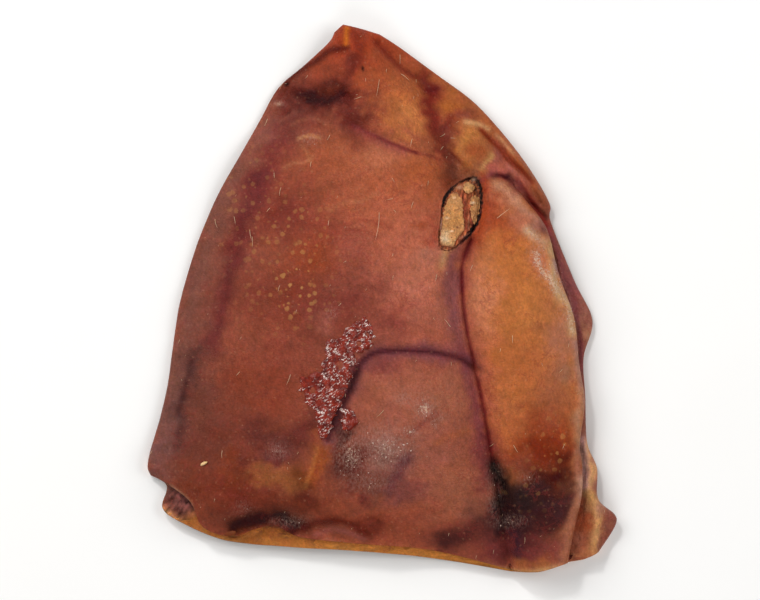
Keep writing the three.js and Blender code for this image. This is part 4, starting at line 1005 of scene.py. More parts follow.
def mottle(put, place, colour, layers):
    """A colour made uneven: each layer multiplies it by a noise of its own size, in brightness and a little
    in hue, from orange to purple. A layer is a size in mm, a strength and a stretch along the ear."""
    for size, strength, stretch in layers:
        drawn = place
        if stretch > 1:
            along = {"Vector": place, "Rotation": (0, 0, MOTTLE_TURN), "Scale": (1, stretch, 1)}
            drawn = put("Mapping", along, vector_type="TEXTURE")
        noise = put("TexNoise", {"Vector": drawn, "Scale": per_mm(size), "Detail": 4})
        most = [strength * hue for hue in MOTTLE_HUES]
        least = [1 - strength / 2 * (1 + hue) for hue in MOTTLE_HUES]
        hues = put("VectorMath", [noise.outputs["Color"], most, least], operation="MULTIPLY_ADD")
        gain = put("VectorMath", [noise, [strength] * 3, hues], operation="MULTIPLY_ADD")
        colour = put("VectorMath", [colour, gain], operation="MULTIPLY").outputs[0]
    return colour


def lay_over(put, colour, layers):
    """Tones laid over a colour one after the other, each as far as its cover goes."""
    for cover, tone in layers:
        colour = put("Mix", {0: cover, 6: colour, 7: rgba(tone)}, data_type="RGBA").outputs[2]
    return colour


def relief(put, height, layers, strength, depth):
    """A bump of a height plus shares of other layers, at most as deep as depth in mm."""
    for share, layer in layers:
        height = put("Math", [layer, share, height], operation="MULTIPLY_ADD")
    return put("Bump", {"Height": height, "Strength": strength, "Distance": depth * MM})


# Fatty flesh, dried: its index of refraction, and light that goes 1.5 mm in, which warms thin edges
FLESH = {"IOR": 1.45, "Subsurface Weight": 0.1, "Subsurface Scale": 1.5 * MM}


def dried_skin():
    """Dried pig skin, scalded and air-dried: leathery, greasy, mottled, with pale follicles
    and a grain of fine lines. The subsurface share gives the warm edges of fatty skin."""
    material, put, place = start_material("dried_skin_air_dried")
    tint = put("Attribute", attribute_name="tint").outputs["Color"]
    gloss, pores, crumbs = (put("Attribute", attribute_name=name).outputs["Fac"]
                            for name in ("gloss", "pores", "crumbs"))
    # Clouds 7 mm across, blotches of 2.6 mm, short streaks along the ear, and grit drawn 0.6 mm wide
    ground = mottle(put, place, tint, ((7, 0.5, 1), (2.6, 0.5, 1), (0.8, 0.65, 2), (0.6, 0.6, 1)))
    cloud = put("TexNoise", {"Vector": place, "Scale": per_mm(7), "Detail": 5})
    fine = put("TexNoise", {"Vector": place, "Scale": per_mm(1.3), "Detail": 4})
    # Thin red lines of dried blood under the skin, drawn 0.5 mm wide
    veins = put("TexNoise", {"Vector": place, "Scale": per_mm(4.5), "Detail": 6, "Roughness": 0.65,
                             "Distortion": 0.6})
    line = put("Math", [veins, 0.5, 0.02], operation="COMPARE")
    patch = put("MapRange", [cloud, 0.45, 0.6, 0, 0.35])
    vein = put("Math", [line, patch], operation="MULTIPLY")
    layers = [(vein, "#7c2c26")]
    # Pale dots of uneven size and outline: flecks of scurf 1.7 mm apart everywhere, and follicles 2.5 mm
    # apart where the skin is marked with pores
    frayed = put("VectorMath", [fine.outputs["Color"], [1.1 * MM] * 3, place], operation="MULTIPLY_ADD")
    grown = put("MapRange", [cloud, 0.34, 0.52])
    for apart, least, most, tone, cover in ((1.7, -0.3, 0.26, "#c08868", 0.12),
                                            (2.5, 0.05, 0.38, "#c48e50", pores)):
        cells = put("TexVoronoi", {"Vector": frayed, "Scale": per_mm(apart)}, voronoi_dimensions="2D")
        size = put("MapRange", [cells.outputs["Color"], 0.25, 0.75, least, most])
        inside = put("Math", [size, cells.outputs["Distance"]], operation="SUBTRACT")
        dot = put("MapRange", [inside, 0, 0.16], interpolation_type="SMOOTHSTEP")
        there = put("Math", [dot, grown], operation="MULTIPLY")
        shown = put("Math", [there, cover], operation="MULTIPLY")
        layers.append((shown, tone))
    # Pale crumbs of dried fat, drawn 0.4 mm across, where the skin is marked as crumbly; they are partly
    # painted glints
    specks = put("TexNoise", {"Vector": place, "Scale": per_mm(0.55), "Detail": 4, "Roughness": 0.75})
    bar = put("Math", [crumbs, -0.6, 0.86], operation="MULTIPLY_ADD")
    over = put("Math", [specks, bar], operation="SUBTRACT")
    crumb = put("MapRange", [over, 0, 0.14, 0, 0.7])
    # The same places carry a pale film in short streaks: fine dust and a painted sheen
    streaks = put("Mapping", {"Vector": place, "Rotation": (0, 0, -0.5), "Scale": (1, 0.5, 1)})
    powder = put("TexNoise", {"Vector": streaks, "Scale": per_mm(0.5), "Detail": 3, "Roughness": 0.7})
    thick = put("MapRange", [powder, 0.42, 0.68, 0, 0.75])
    dust_and_sheen = put("Math", [thick, crumbs], operation="MULTIPLY")
    colour = lay_over(put, ground, [*layers, (dust_and_sheen, "#c09a8c"), (crumb, "#dcc0a6")])
    rough = put("MapRange", [fine, 0.3, 0.7, -0.08, 0.1])
    summed = put("Math", [gloss, rough], operation="ADD", use_clamp=True)
    # Grain: polygons of fine lines 0.9 mm apart, and a roughness of 0.35 mm
    grain = put("TexVoronoi", {"Vector": place, "Scale": per_mm(0.9)}, feature="DISTANCE_TO_EDGE")
    furrows = put("MapRange", [grain.outputs["Distance"], 0, 0.25])
    grit = put("TexNoise", {"Vector": place, "Scale": per_mm(0.35), "Detail": 2})
    bump = relief(put, furrows, ((0.6, grit), (2, fine), (0.7, shown), (1, crumb)), 0.55, 0.15)
    return finish_material(material, put, {"Base Color": colour, "Roughness": summed, "Normal": bump, **FLESH,
                                           "Specular IOR Level": 0.1})


def cut_gristle():
    """Cut ear gristle, dried: dull tan and crumbly like hard cheese, in grains half a millimetre across,
    paler where it broke, with the red-brown stain of its rind."""
    material, put, place = start_material("ear_gristle_cut_and_dried")
    tint = put("Attribute", attribute_name="tint").outputs["Color"]
    grains = put("TexVoronoi", {"Vector": place, "Scale": per_mm(0.6)})
    dust = put("TexNoise", {"Vector": place, "Scale": per_mm(0.9), "Detail": 6, "Roughness": 0.7})
    shade = put("MapRange", [grains.outputs["Color"], 0.2, 0.8, 0.8, 1.2])
    toned = put("VectorMath", {0: tint, "Scale": shade}, operation="SCALE")
    flake = put("MapRange", [dust, 0.63, 0.68, 0, 0.7])
    ground = mottle(put, place, toned, ((2.2, 0.5, 1), (0.5, 0.6, 1)))
    bump = relief(put, grains.outputs["Distance"], ((1.6, dust),), 0.7, 0.3)
    return finish_material(material, put, {"Base Color": lay_over(put, ground, [(flake, "#eed6b8")]),
                                           "Roughness": 0.75, "Normal": bump, **FLESH})


def dried_juice(thick, thin):
    """Dried meat juice: a dark red glaze with a wet shine, pitted and lumpy, with pale dried froth on it in
    streaks, which sparkle: its pale specks are partly painted glints."""
    material, put, place = start_material("meat_juice_dried_glossy")
    lumps = put("TexNoise", {"Vector": place, "Scale": per_mm(1.6), "Detail": 5, "Roughness": 0.6})
    ramp = put("MapRange", [lumps, 0.35, 0.68])
    # Pale foam in streaks that rise to the right, partly painted glints, drawn 0.5 mm wide, with less of it
    # where the glaze is clear
    slanted = put("Mapping", {"Vector": place, "Rotation": (0, 0, 0.55), "Scale": (2.2, 1, 1)},
                  vector_type="TEXTURE")
    streaks = put("TexNoise", {"Vector": slanted, "Scale": per_mm(0.62), "Detail": 3, "Roughness": 0.8})
    beds = put("TexNoise", {"Vector": place, "Scale": per_mm(3.5), "Detail": 2})
    dense = put("Math", [beds, 0.25, streaks], operation="MULTIPLY_ADD")
    clear = put("Attribute", attribute_name="clear").outputs["Fac"]
    kept = put("Math", [clear, -0.09, dense], operation="MULTIPLY_ADD")
    foam_and_glints = put("MapRange", [kept, 0.7, 0.745, 0, 0.9])
    rough = put("MapRange", [lumps, 0.3, 0.7, 0.35, 0.6])
    # Pits 0.9 mm apart between the lumps
    pits = put("TexVoronoi", {"Vector": place, "Scale": per_mm(0.9)}, feature="SMOOTH_F1")
    bump = relief(put, pits.outputs["Distance"], ((1, lumps), (0.25, foam_and_glints)), 0.4, 0.25)
    colour = lay_over(put, rgba(thick), [(ramp, thin), (foam_and_glints, "#f2ded4")])
    return finish_material(material, put, {
        "Base Color": colour, "Roughness": rough, "Normal": bump, "IOR": 1.5, "Specular IOR Level": 0.2,
        "Coat Weight": 0.3, "Coat Roughness": 0.06, "Coat IOR": 1.5})


def uneven_matter(name, tone, layers, **sockets):
    """A material of one tone, made uneven by layers of noise."""
    material, put, place = start_material(name)
    colour = mottle(put, place, linear(tone), layers)
    return finish_material(material, put, {"Base Color": colour, **sockets})


def pale_bristle(tone):
    """Pig bristle, cut short: horn, straw-pale and half shiny."""
    layers = ((3, 0.9, 1), (1, 0.5, 1))
    return uneven_matter("pig_bristle_cut_short", tone, layers, IOR=1.55, Roughness=0.4)


def dried_fat(tone):
    """Crumbs of pork fat, dried: waxy, ivory to straw, each a little different."""
    layers = ((1.2, 0.8, 1), (0.4, 0.4, 1))
    return uneven_matter("pork_fat_dried_crumbs", tone, layers, IOR=1.46, Roughness=0.5)


def matt_floor(tone):
    """Matt white board with the faintest unevenness of tone."""
    return uneven_matter("matt_white_board", tone, ((60, 0.04, 1),), Roughness=0.9)


def piece(name, points, faces, material, slot, colours=None, **values):
    """A shaded mesh from points in mm, with a colour and values for each vertex, that rides on the body."""
    mesh = bpy.data.meshes.new(name)
    mesh.from_pydata((points * MM).tolist(), [], faces)
    mesh.polygons.foreach_set("use_smooth", [True] * len(mesh.polygons))
    if colours is not None:
        attribute = mesh.attributes.new("tint", "FLOAT_COLOR", "POINT")
        opaque = np.concatenate([np.maximum(linear(colours) - VEIL, DARKEST), np.ones((len(colours), 1))], 1)
        attribute.data.foreach_set("color", opaque.ravel())
    for key, numbers in values.items():
        mesh.attributes.new(key, "FLOAT", "POINT").data.foreach_set("value", np.asarray(numbers, float))
    mesh.materials.append(material)
    mesh.validate()
    made = bpy.data.objects.new(name, mesh)
    bpy.context.scene.collection.objects.link(made)
    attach(made, "root")
    return made


SEARCH_STEPS = 30
SEARCH_FROM = 0.6  # column of the first guess
SEARCH_SHARE = 0.8  # share of what is missing that a step makes up


def locate(xy):
    """Column and row of the skin at a place: from a first guess, each step goes across and along by a
    share of what is still missing."""
    c, v = np.full(xy.shape[:-1], SEARCH_FROM), np.clip(0.5 - xy[..., 1] / LENGTH, 0, 1)
    for _ in range(SEARCH_STEPS):
        miss = SEARCH_SHARE * (xy - plan(c, v, UPPER_CUT))
        width = np.where(c < 1, spread(v, 0), spread(v, 1))
        c = np.clip(c + miss[..., 0] / width, 0, LIP)
        v = np.clip(v - miss[..., 1] / LENGTH, 0, 1)
    return c, v


def skin_height(xy):
    """Height of the upper side at a place, without its fine relief."""
    c, v = locate(xy)
    return upper_points(c, v, False)[..., 2]


def make_skin(settings):
    """The closed skin: the upper side, the coarser underside and the cut face, sharing their edges, with
    its tint (with painted shade in the crevice), gloss, pores and crumbs (which also mark painted glints and
    sheen) painted on the vertices."""
    v = crowd(np.arange(ROWS + 1) / ROWS, *ROW_CROWDING)
    upper, columns = upper_side(v)
    count = upper.shape[1]
    blade = crowd(np.arange(UNDER_BLADE_COLUMNS) / UNDER_BLADE_COLUMNS, *UNDER_CROWDING)
    rest = 1 + 2 * crowd(np.linspace(0, 1, count - UNDER_BLADE_COLUMNS), *STRIP_CROWDING)
    under_columns = np.concatenate([blade, rest])
    coarse = under_points(under_columns[::2], v[:, None])
    edge = under_points(under_columns, v[-1:, None])[0]
    edge[[0, -1]] = upper[-1, [0, -1]]
    across = (upper[-1, :, 0] - upper[-1, 0, 0]) / (upper[-1, -1, 0] - upper[-1, 0, 0])
    down = 1 - (1 - np.linspace(0, 1, CUT_ROWS + 1)) ** CUT_CROWDING
    cut = cut_face(upper[-1], edge, upper[-1 - INNER_ROW], across, down[:, None])

    # Numbers of the vertices: the upper side, the inner part of the underside, the cut face
    top = np.arange(upper.shape[0] * count).reshape(-1, count)
    low = np.empty((ROWS, coarse.shape[1]), int)
    low[:, 0], low[:, -1] = top[:-1, 0], top[:-1, -1]
    low[1:, 1:-1] = top.size + np.arange((ROWS - 1) * (coarse.shape[1] - 2)).reshape(ROWS - 1, -1)
    begin = top.size + (ROWS - 1) * (coarse.shape[1] - 2)
    face = np.empty((CUT_ROWS + 1, count), int)
    face[0] = top[-1]
    face[1:, 0], face[1:, -1] = top[-1, 0], top[-1, -1]
    face[1:, 1:-1] = begin + np.arange(CUT_ROWS * (count - 2)).reshape(CUT_ROWS, -1)
    parts = (upper, coarse[1:-1, 1:-1], cut[1:, 1:-1])
    points = np.concatenate([part.reshape(-1, 3) for part in parts])
    faces = grid_faces(top, True) + grid_faces(low[1:], False) + grid_faces(face, True)
    # Where the fine rows of the tip and of the cut meet the coarse underside, faces have five corners
    for fine, row, at_tip in ((top[0], low[1], True), (face[-1], low[-1], False)):
        corners = (fine[:-2:2], fine[1:-1:2], fine[2::2], row[1:], row[:-1])
        faces += np.stack(corners if at_tip else corners[::-1], -1).tolist()

    colours = skin_colours(upper[..., :2], columns, v[:, None], settings)
    # Painted shade in the crevice under the lip, as far as the crevice is open
    first = BLADE_COLUMNS + BAND_COLUMNS + 2
    crevice = slice(first, first + CREVICE_COLUMNS - 1)
    colours[:, crevice] += (np.array(settings.crevice) - colours[:, crevice]) * opening(v)[:, None, None]
    under = coarse[1:-1, 1:-1, :2]
    plain = np.broadcast_to(np.array(settings.underside), under.shape[:-1] + (3,))
    rim = [(side, RIM_WIDTH, RIM_TONE, RIM_STRENGTH) for side in LOWER_CUT]
    below = paint(paint(plain, under, STAINS_SHADE_AND_SHEEN, UNDER_STAINS_SHADE_AND_SHEEN), under, rim + CUT_STAINS_AND_SHADE[1:])
    sides = paint(cut_colours(upper[-1, :, 0], across, down), cut[..., :2], CUT_STAINS_AND_SHADE)[1:, 1:-1]
    tints = np.concatenate([part.reshape(-1, 3) for part in (colours, below, sides)])
    flat = upper[..., :2].reshape(-1, 2)
    # The crumbs mask marks crumbs of fat and foam, and also where glints and a sheen are painted
    pores, crumbs = np.zeros((2, len(points)))
    for marks, patches in ((pores, FOLLICLES), (crumbs, CRUMBLY)):
        for place, width, strength in patches:
            marks[:len(flat)] = np.maximum(marks[:len(flat)], strength * wash(flat, place, width))
    values = {"gloss": np.full(len(points), SKIN_GLOSS), "pores": pores, "crumbs": crumbs}
    skin = piece("ear_skin", points, faces, dried_skin(), "skin", tints, **values)
    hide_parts("ear")


def polar_form(outline, profile, around):
    """A closed form over an outline: rings at shares of the outline's reach, first out over the top and
    then back below, between two poles. profile lists share and height. Gives the points, their shares and
    the faces."""
    edge = ring(outline, np.linspace(0, 1, around, endpoint=False))
    middle = edge.mean(0)
    share, level = np.array(profile).T
    rings = len(profile) - 2
    xy = middle + (edge - middle)[None] * share[1:-1, None, None]
    points = np.concatenate([xy, np.broadcast_to(level[1:-1, None, None], xy.shape[:-1] + (1,))], -1)
    flat = np.concatenate([[[*middle, level[0]]], points.reshape(-1, 3), [[*middle, level[-1]]]])
    reach = np.concatenate([[0], np.repeat(share[1:-1], around), [0]])
    return flat, reach, grid_faces(polar_index(rings, around), False)


def polar_index(rings, around):
    """Vertex numbers of rings between two poles, as a grid closed on itself."""
    index = np.empty((rings + 2, around + 1), int)
    index[0], index[-1] = 0, rings * around + 1
    index[1:-1, :-1] = 1 + np.arange(rings * around).reshape(rings, around)
    index[1:-1, -1] = index[1:-1, 0]
    return index


# Rings of the wound's surface: share of the outline's reach, and height in mm, over the wound's floor for the
# wall and over the skin beyond it
WOUND_RINGS = 36
WOUND_AROUND = 200
WOUND_FLAT = 0.86
WOUND_WALL = [(0.9, -0.15), (0.93, -0.3), (0.955, -0.2), (0.97, 0.05), (0.98, 0.35), (0.99, 0.5),
              (1.005, 0.6)]
WOUND_APRON = [(1.025, 0.12), (1.05, 0.08), (1.08, 0.04), (1.12, -0.05), (1.17, -0.25)]
WOUND_BELOW = [(1.1, -1.2), (0.95, -1.7), (0.6, -1.9), (0, -1.9)]
WOUND_CRUMBS = 0.12  # how crumbly the wound's rim is
# Unevenness of the wound: height in mm, size in mm and seed. The fibres are stretched along the ear
FLESH_FIBRES = (0.13, 1.1, 31)
FIBRE_STRETCH = [1, 0.35]
FLESH_GRAIN = (0.07, 0.8, 32)
TORN_RIM = (0.1, 3, 33)
# Unevenness of its tones, as a share of their brightness, and of its edge and gap, as a share of the reach
FLESH_TONES = (0.16, 1, 34)
TONE_STRETCH = [1, 0.3]
EDGE_WANDER = (0.015, 1.4, 35)
GAP_WANDER = (0.02, 1.1, 36)
# The gap's painted shade comes in over this share of the reach
GAP_FADE = 0.05  # share of the reach over which the gap turns dark
# Shares of the reach between which the fibres, the tear and the crumbs fade in and out, and over which the
# skin's colours come in, first with the stains of the edge and then alone
FIBRES_SHOW = (0, 0.02, 0.84, 0.92)
RIM_TORN = (0.9, 0.97, 1.03, 1.12)
RIM_CRUMBLY = (0.8, 0.9, 1, 1.05)
SKIN_COMES = (0.975, 1.03)
SKIN_ALONE = (1.03, 1.1)


def make_wound(settings):
    """The torn face round the gristle: a floor of red-brown fibres, a narrow gap darkened with painted shade,
    and a thin rim. Its outer rings run into the skin and take its colours."""
    flat = [(share, 0) for share in np.linspace(0, WOUND_FLAT, WOUND_RINGS)]
    profile = [(share, WOUND_FLOOR + rise) for share, rise in flat + WOUND_WALL] + WOUND_APRON + WOUND_BELOW
    points, reach, faces = polar_form(WOUND_OUTLINE, profile, WOUND_AROUND)
    xy = points[:, :2]
    top = np.arange(len(points)) < len(points) - (len(WOUND_BELOW) - 1) * WOUND_AROUND - 1
    fibres = ripples(xy * FIBRE_STRETCH, [FLESH_FIBRES]) + ripples(xy, [FLESH_GRAIN])
    torn = ripples(xy, [TORN_RIM]) * between(reach, *RIM_TORN)
    points[:, 2] += skin_height(xy) + np.where(top, fibres * between(reach, *FIBRES_SHOW) + torn, 0)
    c, v = locate(xy)
    skin = skin_colours(xy[None], c[None], v[None], settings)[0]
    flesh = paint(np.broadcast_to(shares(WOUND_GROUND), skin.shape), xy, FLESH_STAINS)
    flesh = flesh * (1 + ripples(xy * TONE_STRETCH, [FLESH_TONES])[:, None])
    # The gap's painted shade, whose start and darkness go round the middle with the table
    spoke = np.degrees(np.arctan2(*(xy - xy[0]).T[::-1]))
    angles, starts, dark = np.array(GAP_SHADE).T
    starts = np.interp(spoke, angles, starts) + ripples(xy, [GAP_WANDER])
    gap = smooth(reach - starts, 0, GAP_FADE) * np.interp(spoke, angles, dark)
    flesh = flesh + (shares(WOUND_GAP_SHADE) - flesh) * gap[:, None]
    edge = smooth(reach + ripples(xy, [EDGE_WANDER]), *SKIN_COMES)[:, None]
    colours = paint(flesh + (skin - flesh) * edge, xy, WOUND_EDGE_STAINS)
    colours = colours + (skin - colours) * smooth(reach, *SKIN_ALONE)[:, None]
    values = {"gloss": np.full(len(points), SKIN_GLOSS), "pores": np.zeros(len(points)),
              "crumbs": WOUND_CRUMBS * between(reach, *RIM_CRUMBLY)}
    piece("wound_torn_face", points, faces, dried_skin(), "skin", colours, **values)


# The rim of a piece of gristle, which goes down into the flesh: share of its reach, and mm down from its top
GRISTLE_RIM = ((0.93, 0.03), (0.96, 0.1), (0.985, 0.25), (1, 0.5), (0.97, 1.3), (0, 1.3))
GRISTLE_FLAT = 0.88
GRISTLE_WANDER = 0.12  # mm that its outline wanders
GRISTLE_WAVES = (1.6, 70)  # size in mm and seed of that
GRISTLE_LUMPS = ((0.08, 2.2, 40), (0.05, 0.8, 50))  # height and size in mm, and seed of the first piece


def make_gristle(settings):
    """Each piece of gristle: a granular top, nearly flush with the skin, with a rounded rim that goes down
    into the flesh."""
    material = cut_gristle()
    for number, (name, (outline, level, rings, around)) in enumerate(GRISTLE.items()):
        profile = [(share, level) for share in np.linspace(0, GRISTLE_FLAT, rings)]
        profile += [(share, level - drop) for share, drop in GRISTLE_RIM]
        points, reach, faces = polar_form(outline, profile, around)
        xy = points[:, :2]
        xy += GRISTLE_WANDER * drift(xy, *GRISTLE_WAVES) * smooth(reach, 0.5, 1)[:, None]
        lumps = ripples(xy, [(height, size, seed + number) for height, size, seed in GRISTLE_LUMPS])
        points[:, 2] += skin_height(xy) + np.where(points[:, 2] > level - 1, lumps, 0)
        tan = paint(np.broadcast_to(np.array(settings.gristle), (len(xy), 3)), xy, GRISTLE_STAINS)
        rind = RIND[1] * smooth(reach, *RIND[0])[:, None]
        piece(name, points, faces, material, "gristle", tan + (shares(GRISTLE_RIND) - tan) * rind)


CRUST_WANDER = 0.6  # mm that the crust's two edges wander
CRUST_WAVE = 2.6  # mm, size of that
EDGE_SEEDS = (60, 62)
CRUST_ENDS = 40  # mm that count as the crust's length where it thins out towards its ends
CRUST_SUNK = 0.8  # mm from the skin down to the crust's underside
CRUST_RISE = 1.2  # mm in from its rim over which it gets its full thickness
RIM_SUNK = 0.25  # mm that its rim lies in the skin
RIM_RISE = 0.7  # mm in from the rim over which it comes out
BARE_SUNK = 0.4  # mm that it lies in the skin where that shows through
NODULES = ((0.14, 2.4, 64), (0.09, 1.5, 65), (0.05, 0.8, 66))  # height, size, seed. The second only rises


def make_crust(settings):
    """Lumpy glaze between two edge curves: straight lines from edge to edge, thick in the middle, with
    nodules, sunk into the skin at its rim and where the skin shows through."""
    material = dried_juice(settings.thick, settings.thin)
    for name, (left, right, along, across) in CRUSTS.items():
        t = np.linspace(0, 1, along + 1)
        w = np.linspace(0, 1, across + 1)[None, :]
        a, b = (edge + CRUST_WANDER * drift(edge, CRUST_WAVE, seed) * np.sin(math.pi * t)[:, None] ** 0.5
                for edge, seed in zip((spline(left, t), spline(right, t)), EDGE_SEEDS))
        xy = a[:, None] + (b - a)[:, None] * w[..., None]
        gap = np.linalg.norm(b - a, axis=1)[:, None]
        rim = np.minimum(np.minimum(w, 1 - w) * gap, np.minimum(t, 1 - t)[:, None] * CRUST_ENDS)
        large, middling, small = (ripples(xy, [layer]) for layer in NODULES)
        nodules = large + np.abs(middling) + small
        bare = sum(wash(xy, place, radii) for place, radii in BARE_SPOTS)
        ground = skin_height(xy)
        rise = smooth(rim, 0, CRUST_RISE) * (settings.thickness / MM + nodules)
        z = ground + rise * (1 - bare) - BARE_SUNK * bare - RIM_SUNK * (1 - smooth(rim, 0, RIM_RISE))
        upper = np.concatenate([xy, z[..., None]], -1)
        lower = np.concatenate([xy, (ground - CRUST_SUNK)[..., None]], -1)
        top = np.arange((along + 1) * (across + 1)).reshape(-1, across + 1)
        low = top.copy()
        low[1:-1, 1:-1] = top.size + np.arange((along - 1) * (across - 1)).reshape(along - 1, -1)
        top[0], top[-1] = top[0, 0], top[-1, 0]
        low[0], low[-1] = top[0, 0], top[-1, 0]
        points = np.concatenate([upper.reshape(-1, 3), lower[1:-1, 1:-1].reshape(-1, 3)])
        points, faces = drop_unused(points, grid_faces(top, True) + grid_faces(low, False))
        clear = sum(wash(points[:, :2], place, radii) for place, radii in CLEAR_GLAZE)
        piece(name, points, faces, material, "glaze", clear=clear)


def drop_unused(points, faces):
    """Points that faces use, and the faces with the new numbers."""
    used = np.unique(np.concatenate(faces))
    number = np.zeros(len(points), int)
    number[used] = np.arange(len(used))
    return points[used], [number[face].tolist() for face in faces]


STEEPEST = 0.3  # least upward share of a normal where bristles and crumbs may lie


def skin_surface():
    """Points in mm, normals, areas and crumbliness of the vertices of the upper skin that lie open."""
    mesh = bpy.data.objects["ear_skin"].data
    count = (ROWS + 1) * (BLADE_COLUMNS + BAND_COLUMNS + CREVICE_COLUMNS + STRIP_COLUMNS + 2)
    points, normals = np.empty((2, len(mesh.vertices), 3))
    mesh.vertices.foreach_get("co", points.reshape(-1))
    mesh.vertex_normals.foreach_get("vector", normals.reshape(-1))
    crumbs = np.empty(len(mesh.vertices))
    mesh.attributes["crumbs"].data.foreach_get("value", crumbs)
    grid = points[:count].reshape(ROWS + 1, -1, 3) / MM
    area = np.linalg.norm(np.cross(np.gradient(grid, axis=0), np.gradient(grid, axis=1)), axis=-1)
    column = np.arange(grid.shape[1])
    folded = BLADE_COLUMNS + BAND_COLUMNS
    visible = (column <= folded) | (column > folded + CREVICE_COLUMNS + 1)
    use = (visible[None] & (normals[:count, 2].reshape(area.shape) > STEEPEST)).ravel()
    return grid.reshape(-1, 3)[use], normals[:count][use], area.ravel()[use], crumbs[:count][use]


# Bristles: rings and points around, how deep a root lies in mm, and the share of the width lost at the end
BRISTLE_RINGS = 7
BRISTLE_SIDES = 5
ROOT_DEPTH = 0.08
TAPER = 0.75
SINK = 0.6  # share of its rise that a bristle loses again towards its end
THICKNESS = (0.5, 0.25)  # share of the usual thickness: in any case, and more for each mm of length, up to 1
BRISTLE_SEED = 71
# What is drawn for each
LIE = (-1.85, 0.55)  # direction on the skin in radians, mean and spread
LENGTHS = (2.2, 0.45)  # shape and scale of the length, as a share of the usual one
LENGTH_LIMITS = (0.6, 3)
RISE = (0.1, 0.4)  # least and most rise, as a share of the length
BEND_SPREAD = 0.16  # the same for the sideways bend


def make_bristles(settings):
    """Bristles: thin five-sided cones along a bent line, from a root just under the skin. Most are drawn at
    random, evenly over the skin, and the longest lie where they were seen."""
    points, normals, area, _ = skin_surface()
    rng = np.random.default_rng(BRISTLE_SEED)
    stubs = rng.choice(len(points), settings.count, replace=False, p=area / area.sum())
    start, end = np.array(LONG_BRISTLES).transpose(1, 0, 2) * PERCENT
    seen = [np.abs(points[:, :2] - place).sum(1).argmin() for place in start]
    chosen = np.concatenate([stubs, seen])
    root, up, count = points[chosen], normals[chosen], len(chosen)
    turn = rng.normal(*LIE, count)
    lie = np.stack([np.cos(turn), np.sin(turn), np.zeros(count)], -1)
    lie[len(stubs):, :2] = end - start
    length = rng.gamma(*LENGTHS, count).clip(*LENGTH_LIMITS) * (settings.length / MM)
    length[len(stubs):] = np.linalg.norm(end - start, axis=1)
    lie -= (lie * up).sum(-1, keepdims=True) * up
    lie /= np.linalg.norm(lie, axis=-1, keepdims=True)
    rise = rng.uniform(*RISE, count)[:, None, None]
    bend = rng.normal(0, BEND_SPREAD, count)[:, None, None]
    sideways = np.cross(up, lie)
    t = np.linspace(0, 1, BRISTLE_RINGS)[None, :, None]
    line = t * lie[:, None] + t * (1 - SINK * t) * rise * up[:, None] + bend * t**2 * sideways[:, None]
    line = root[:, None] - ROOT_DEPTH * up[:, None] + length[:, None, None] * line
    thin = np.minimum(1, THICKNESS[0] + THICKNESS[1] * length)[:, None, None]
    radius = settings.thickness / MM / 2 * (1 - TAPER * t**2) * thin
    angle = np.linspace(0, 2 * math.pi, BRISTLE_SIDES, endpoint=False)[None, None, :, None]
    around = np.cos(angle) * sideways[:, None, None] + np.sin(angle) * up[:, None, None]
    tube = line[:, :, None] + radius[..., None] * around
    number = np.arange(count * BRISTLE_RINGS * BRISTLE_SIDES).reshape(count, BRISTLE_RINGS, BRISTLE_SIDES)
    number[:, -1] = number[:, -1, :1]
    tube[:, -1] = line[:, -1][:, None]
    closed = np.concatenate([number, number[..., :1]], -1)
    faces = number[:, 0, ::-1].tolist()
    for index in closed:
        faces += grid_faces(index, True)
    points, faces = drop_unused(tube.reshape(-1, 3), faces)
    piece("bristles", points, faces, pale_bristle(settings.tone), "bristle")


LUMP_PUSH = (0.75, 1.25)  # how far the points of a lump go in and out, as shares of its size
CRUMB_SEED = 81
CRUMB_GRID = (3, 6)  # rings and points around
SLIVER_GRID = (9, 14)
CRUMB_SPREAD = 0.35  # of the size, as a logarithm
CRUMB_AXES = ([0.8, 0.6, 0.5], [1.5, 1, 0.9])  # least and most of the three half axes
CRUMB_JITTER = 0.12  # mm, spread of the place


def lumps_at(middle, axes, turn, rings, around, rng):
    """Uneven ellipsoids: rings of points between two poles, each point pushed in or out by a seeded draw,
    stretched by the axes and turned about the vertical."""
    tilt = np.linspace(0, math.pi, rings + 2)[1:-1, None]
    angle = np.linspace(0, 2 * math.pi, around, endpoint=False)[None]
    shell = np.stack(np.broadcast_arrays(np.sin(tilt) * np.cos(angle), np.sin(tilt) * np.sin(angle),
                                         np.cos(tilt)), -1).reshape(-1, 3)
    shell = np.concatenate([[[0, 0, 1]], shell, [[0, 0, -1]]])
    push = rng.uniform(*LUMP_PUSH, (len(middle), len(shell), 1))
    form = shell[None] * push * axes[:, None]
    x, y = form[..., 0], form[..., 1]
    cos, sin = np.cos(turn)[:, None], np.sin(turn)[:, None]
    form = np.stack([x * cos - y * sin, x * sin + y * cos, form[..., 2]], -1)
    index = polar_index(rings, around)
    faces = []
    for number in range(len(middle)):
        faces += grid_faces(index + number * len(shell), False)
    return (middle[:, None] + form).reshape(-1, 3), faces


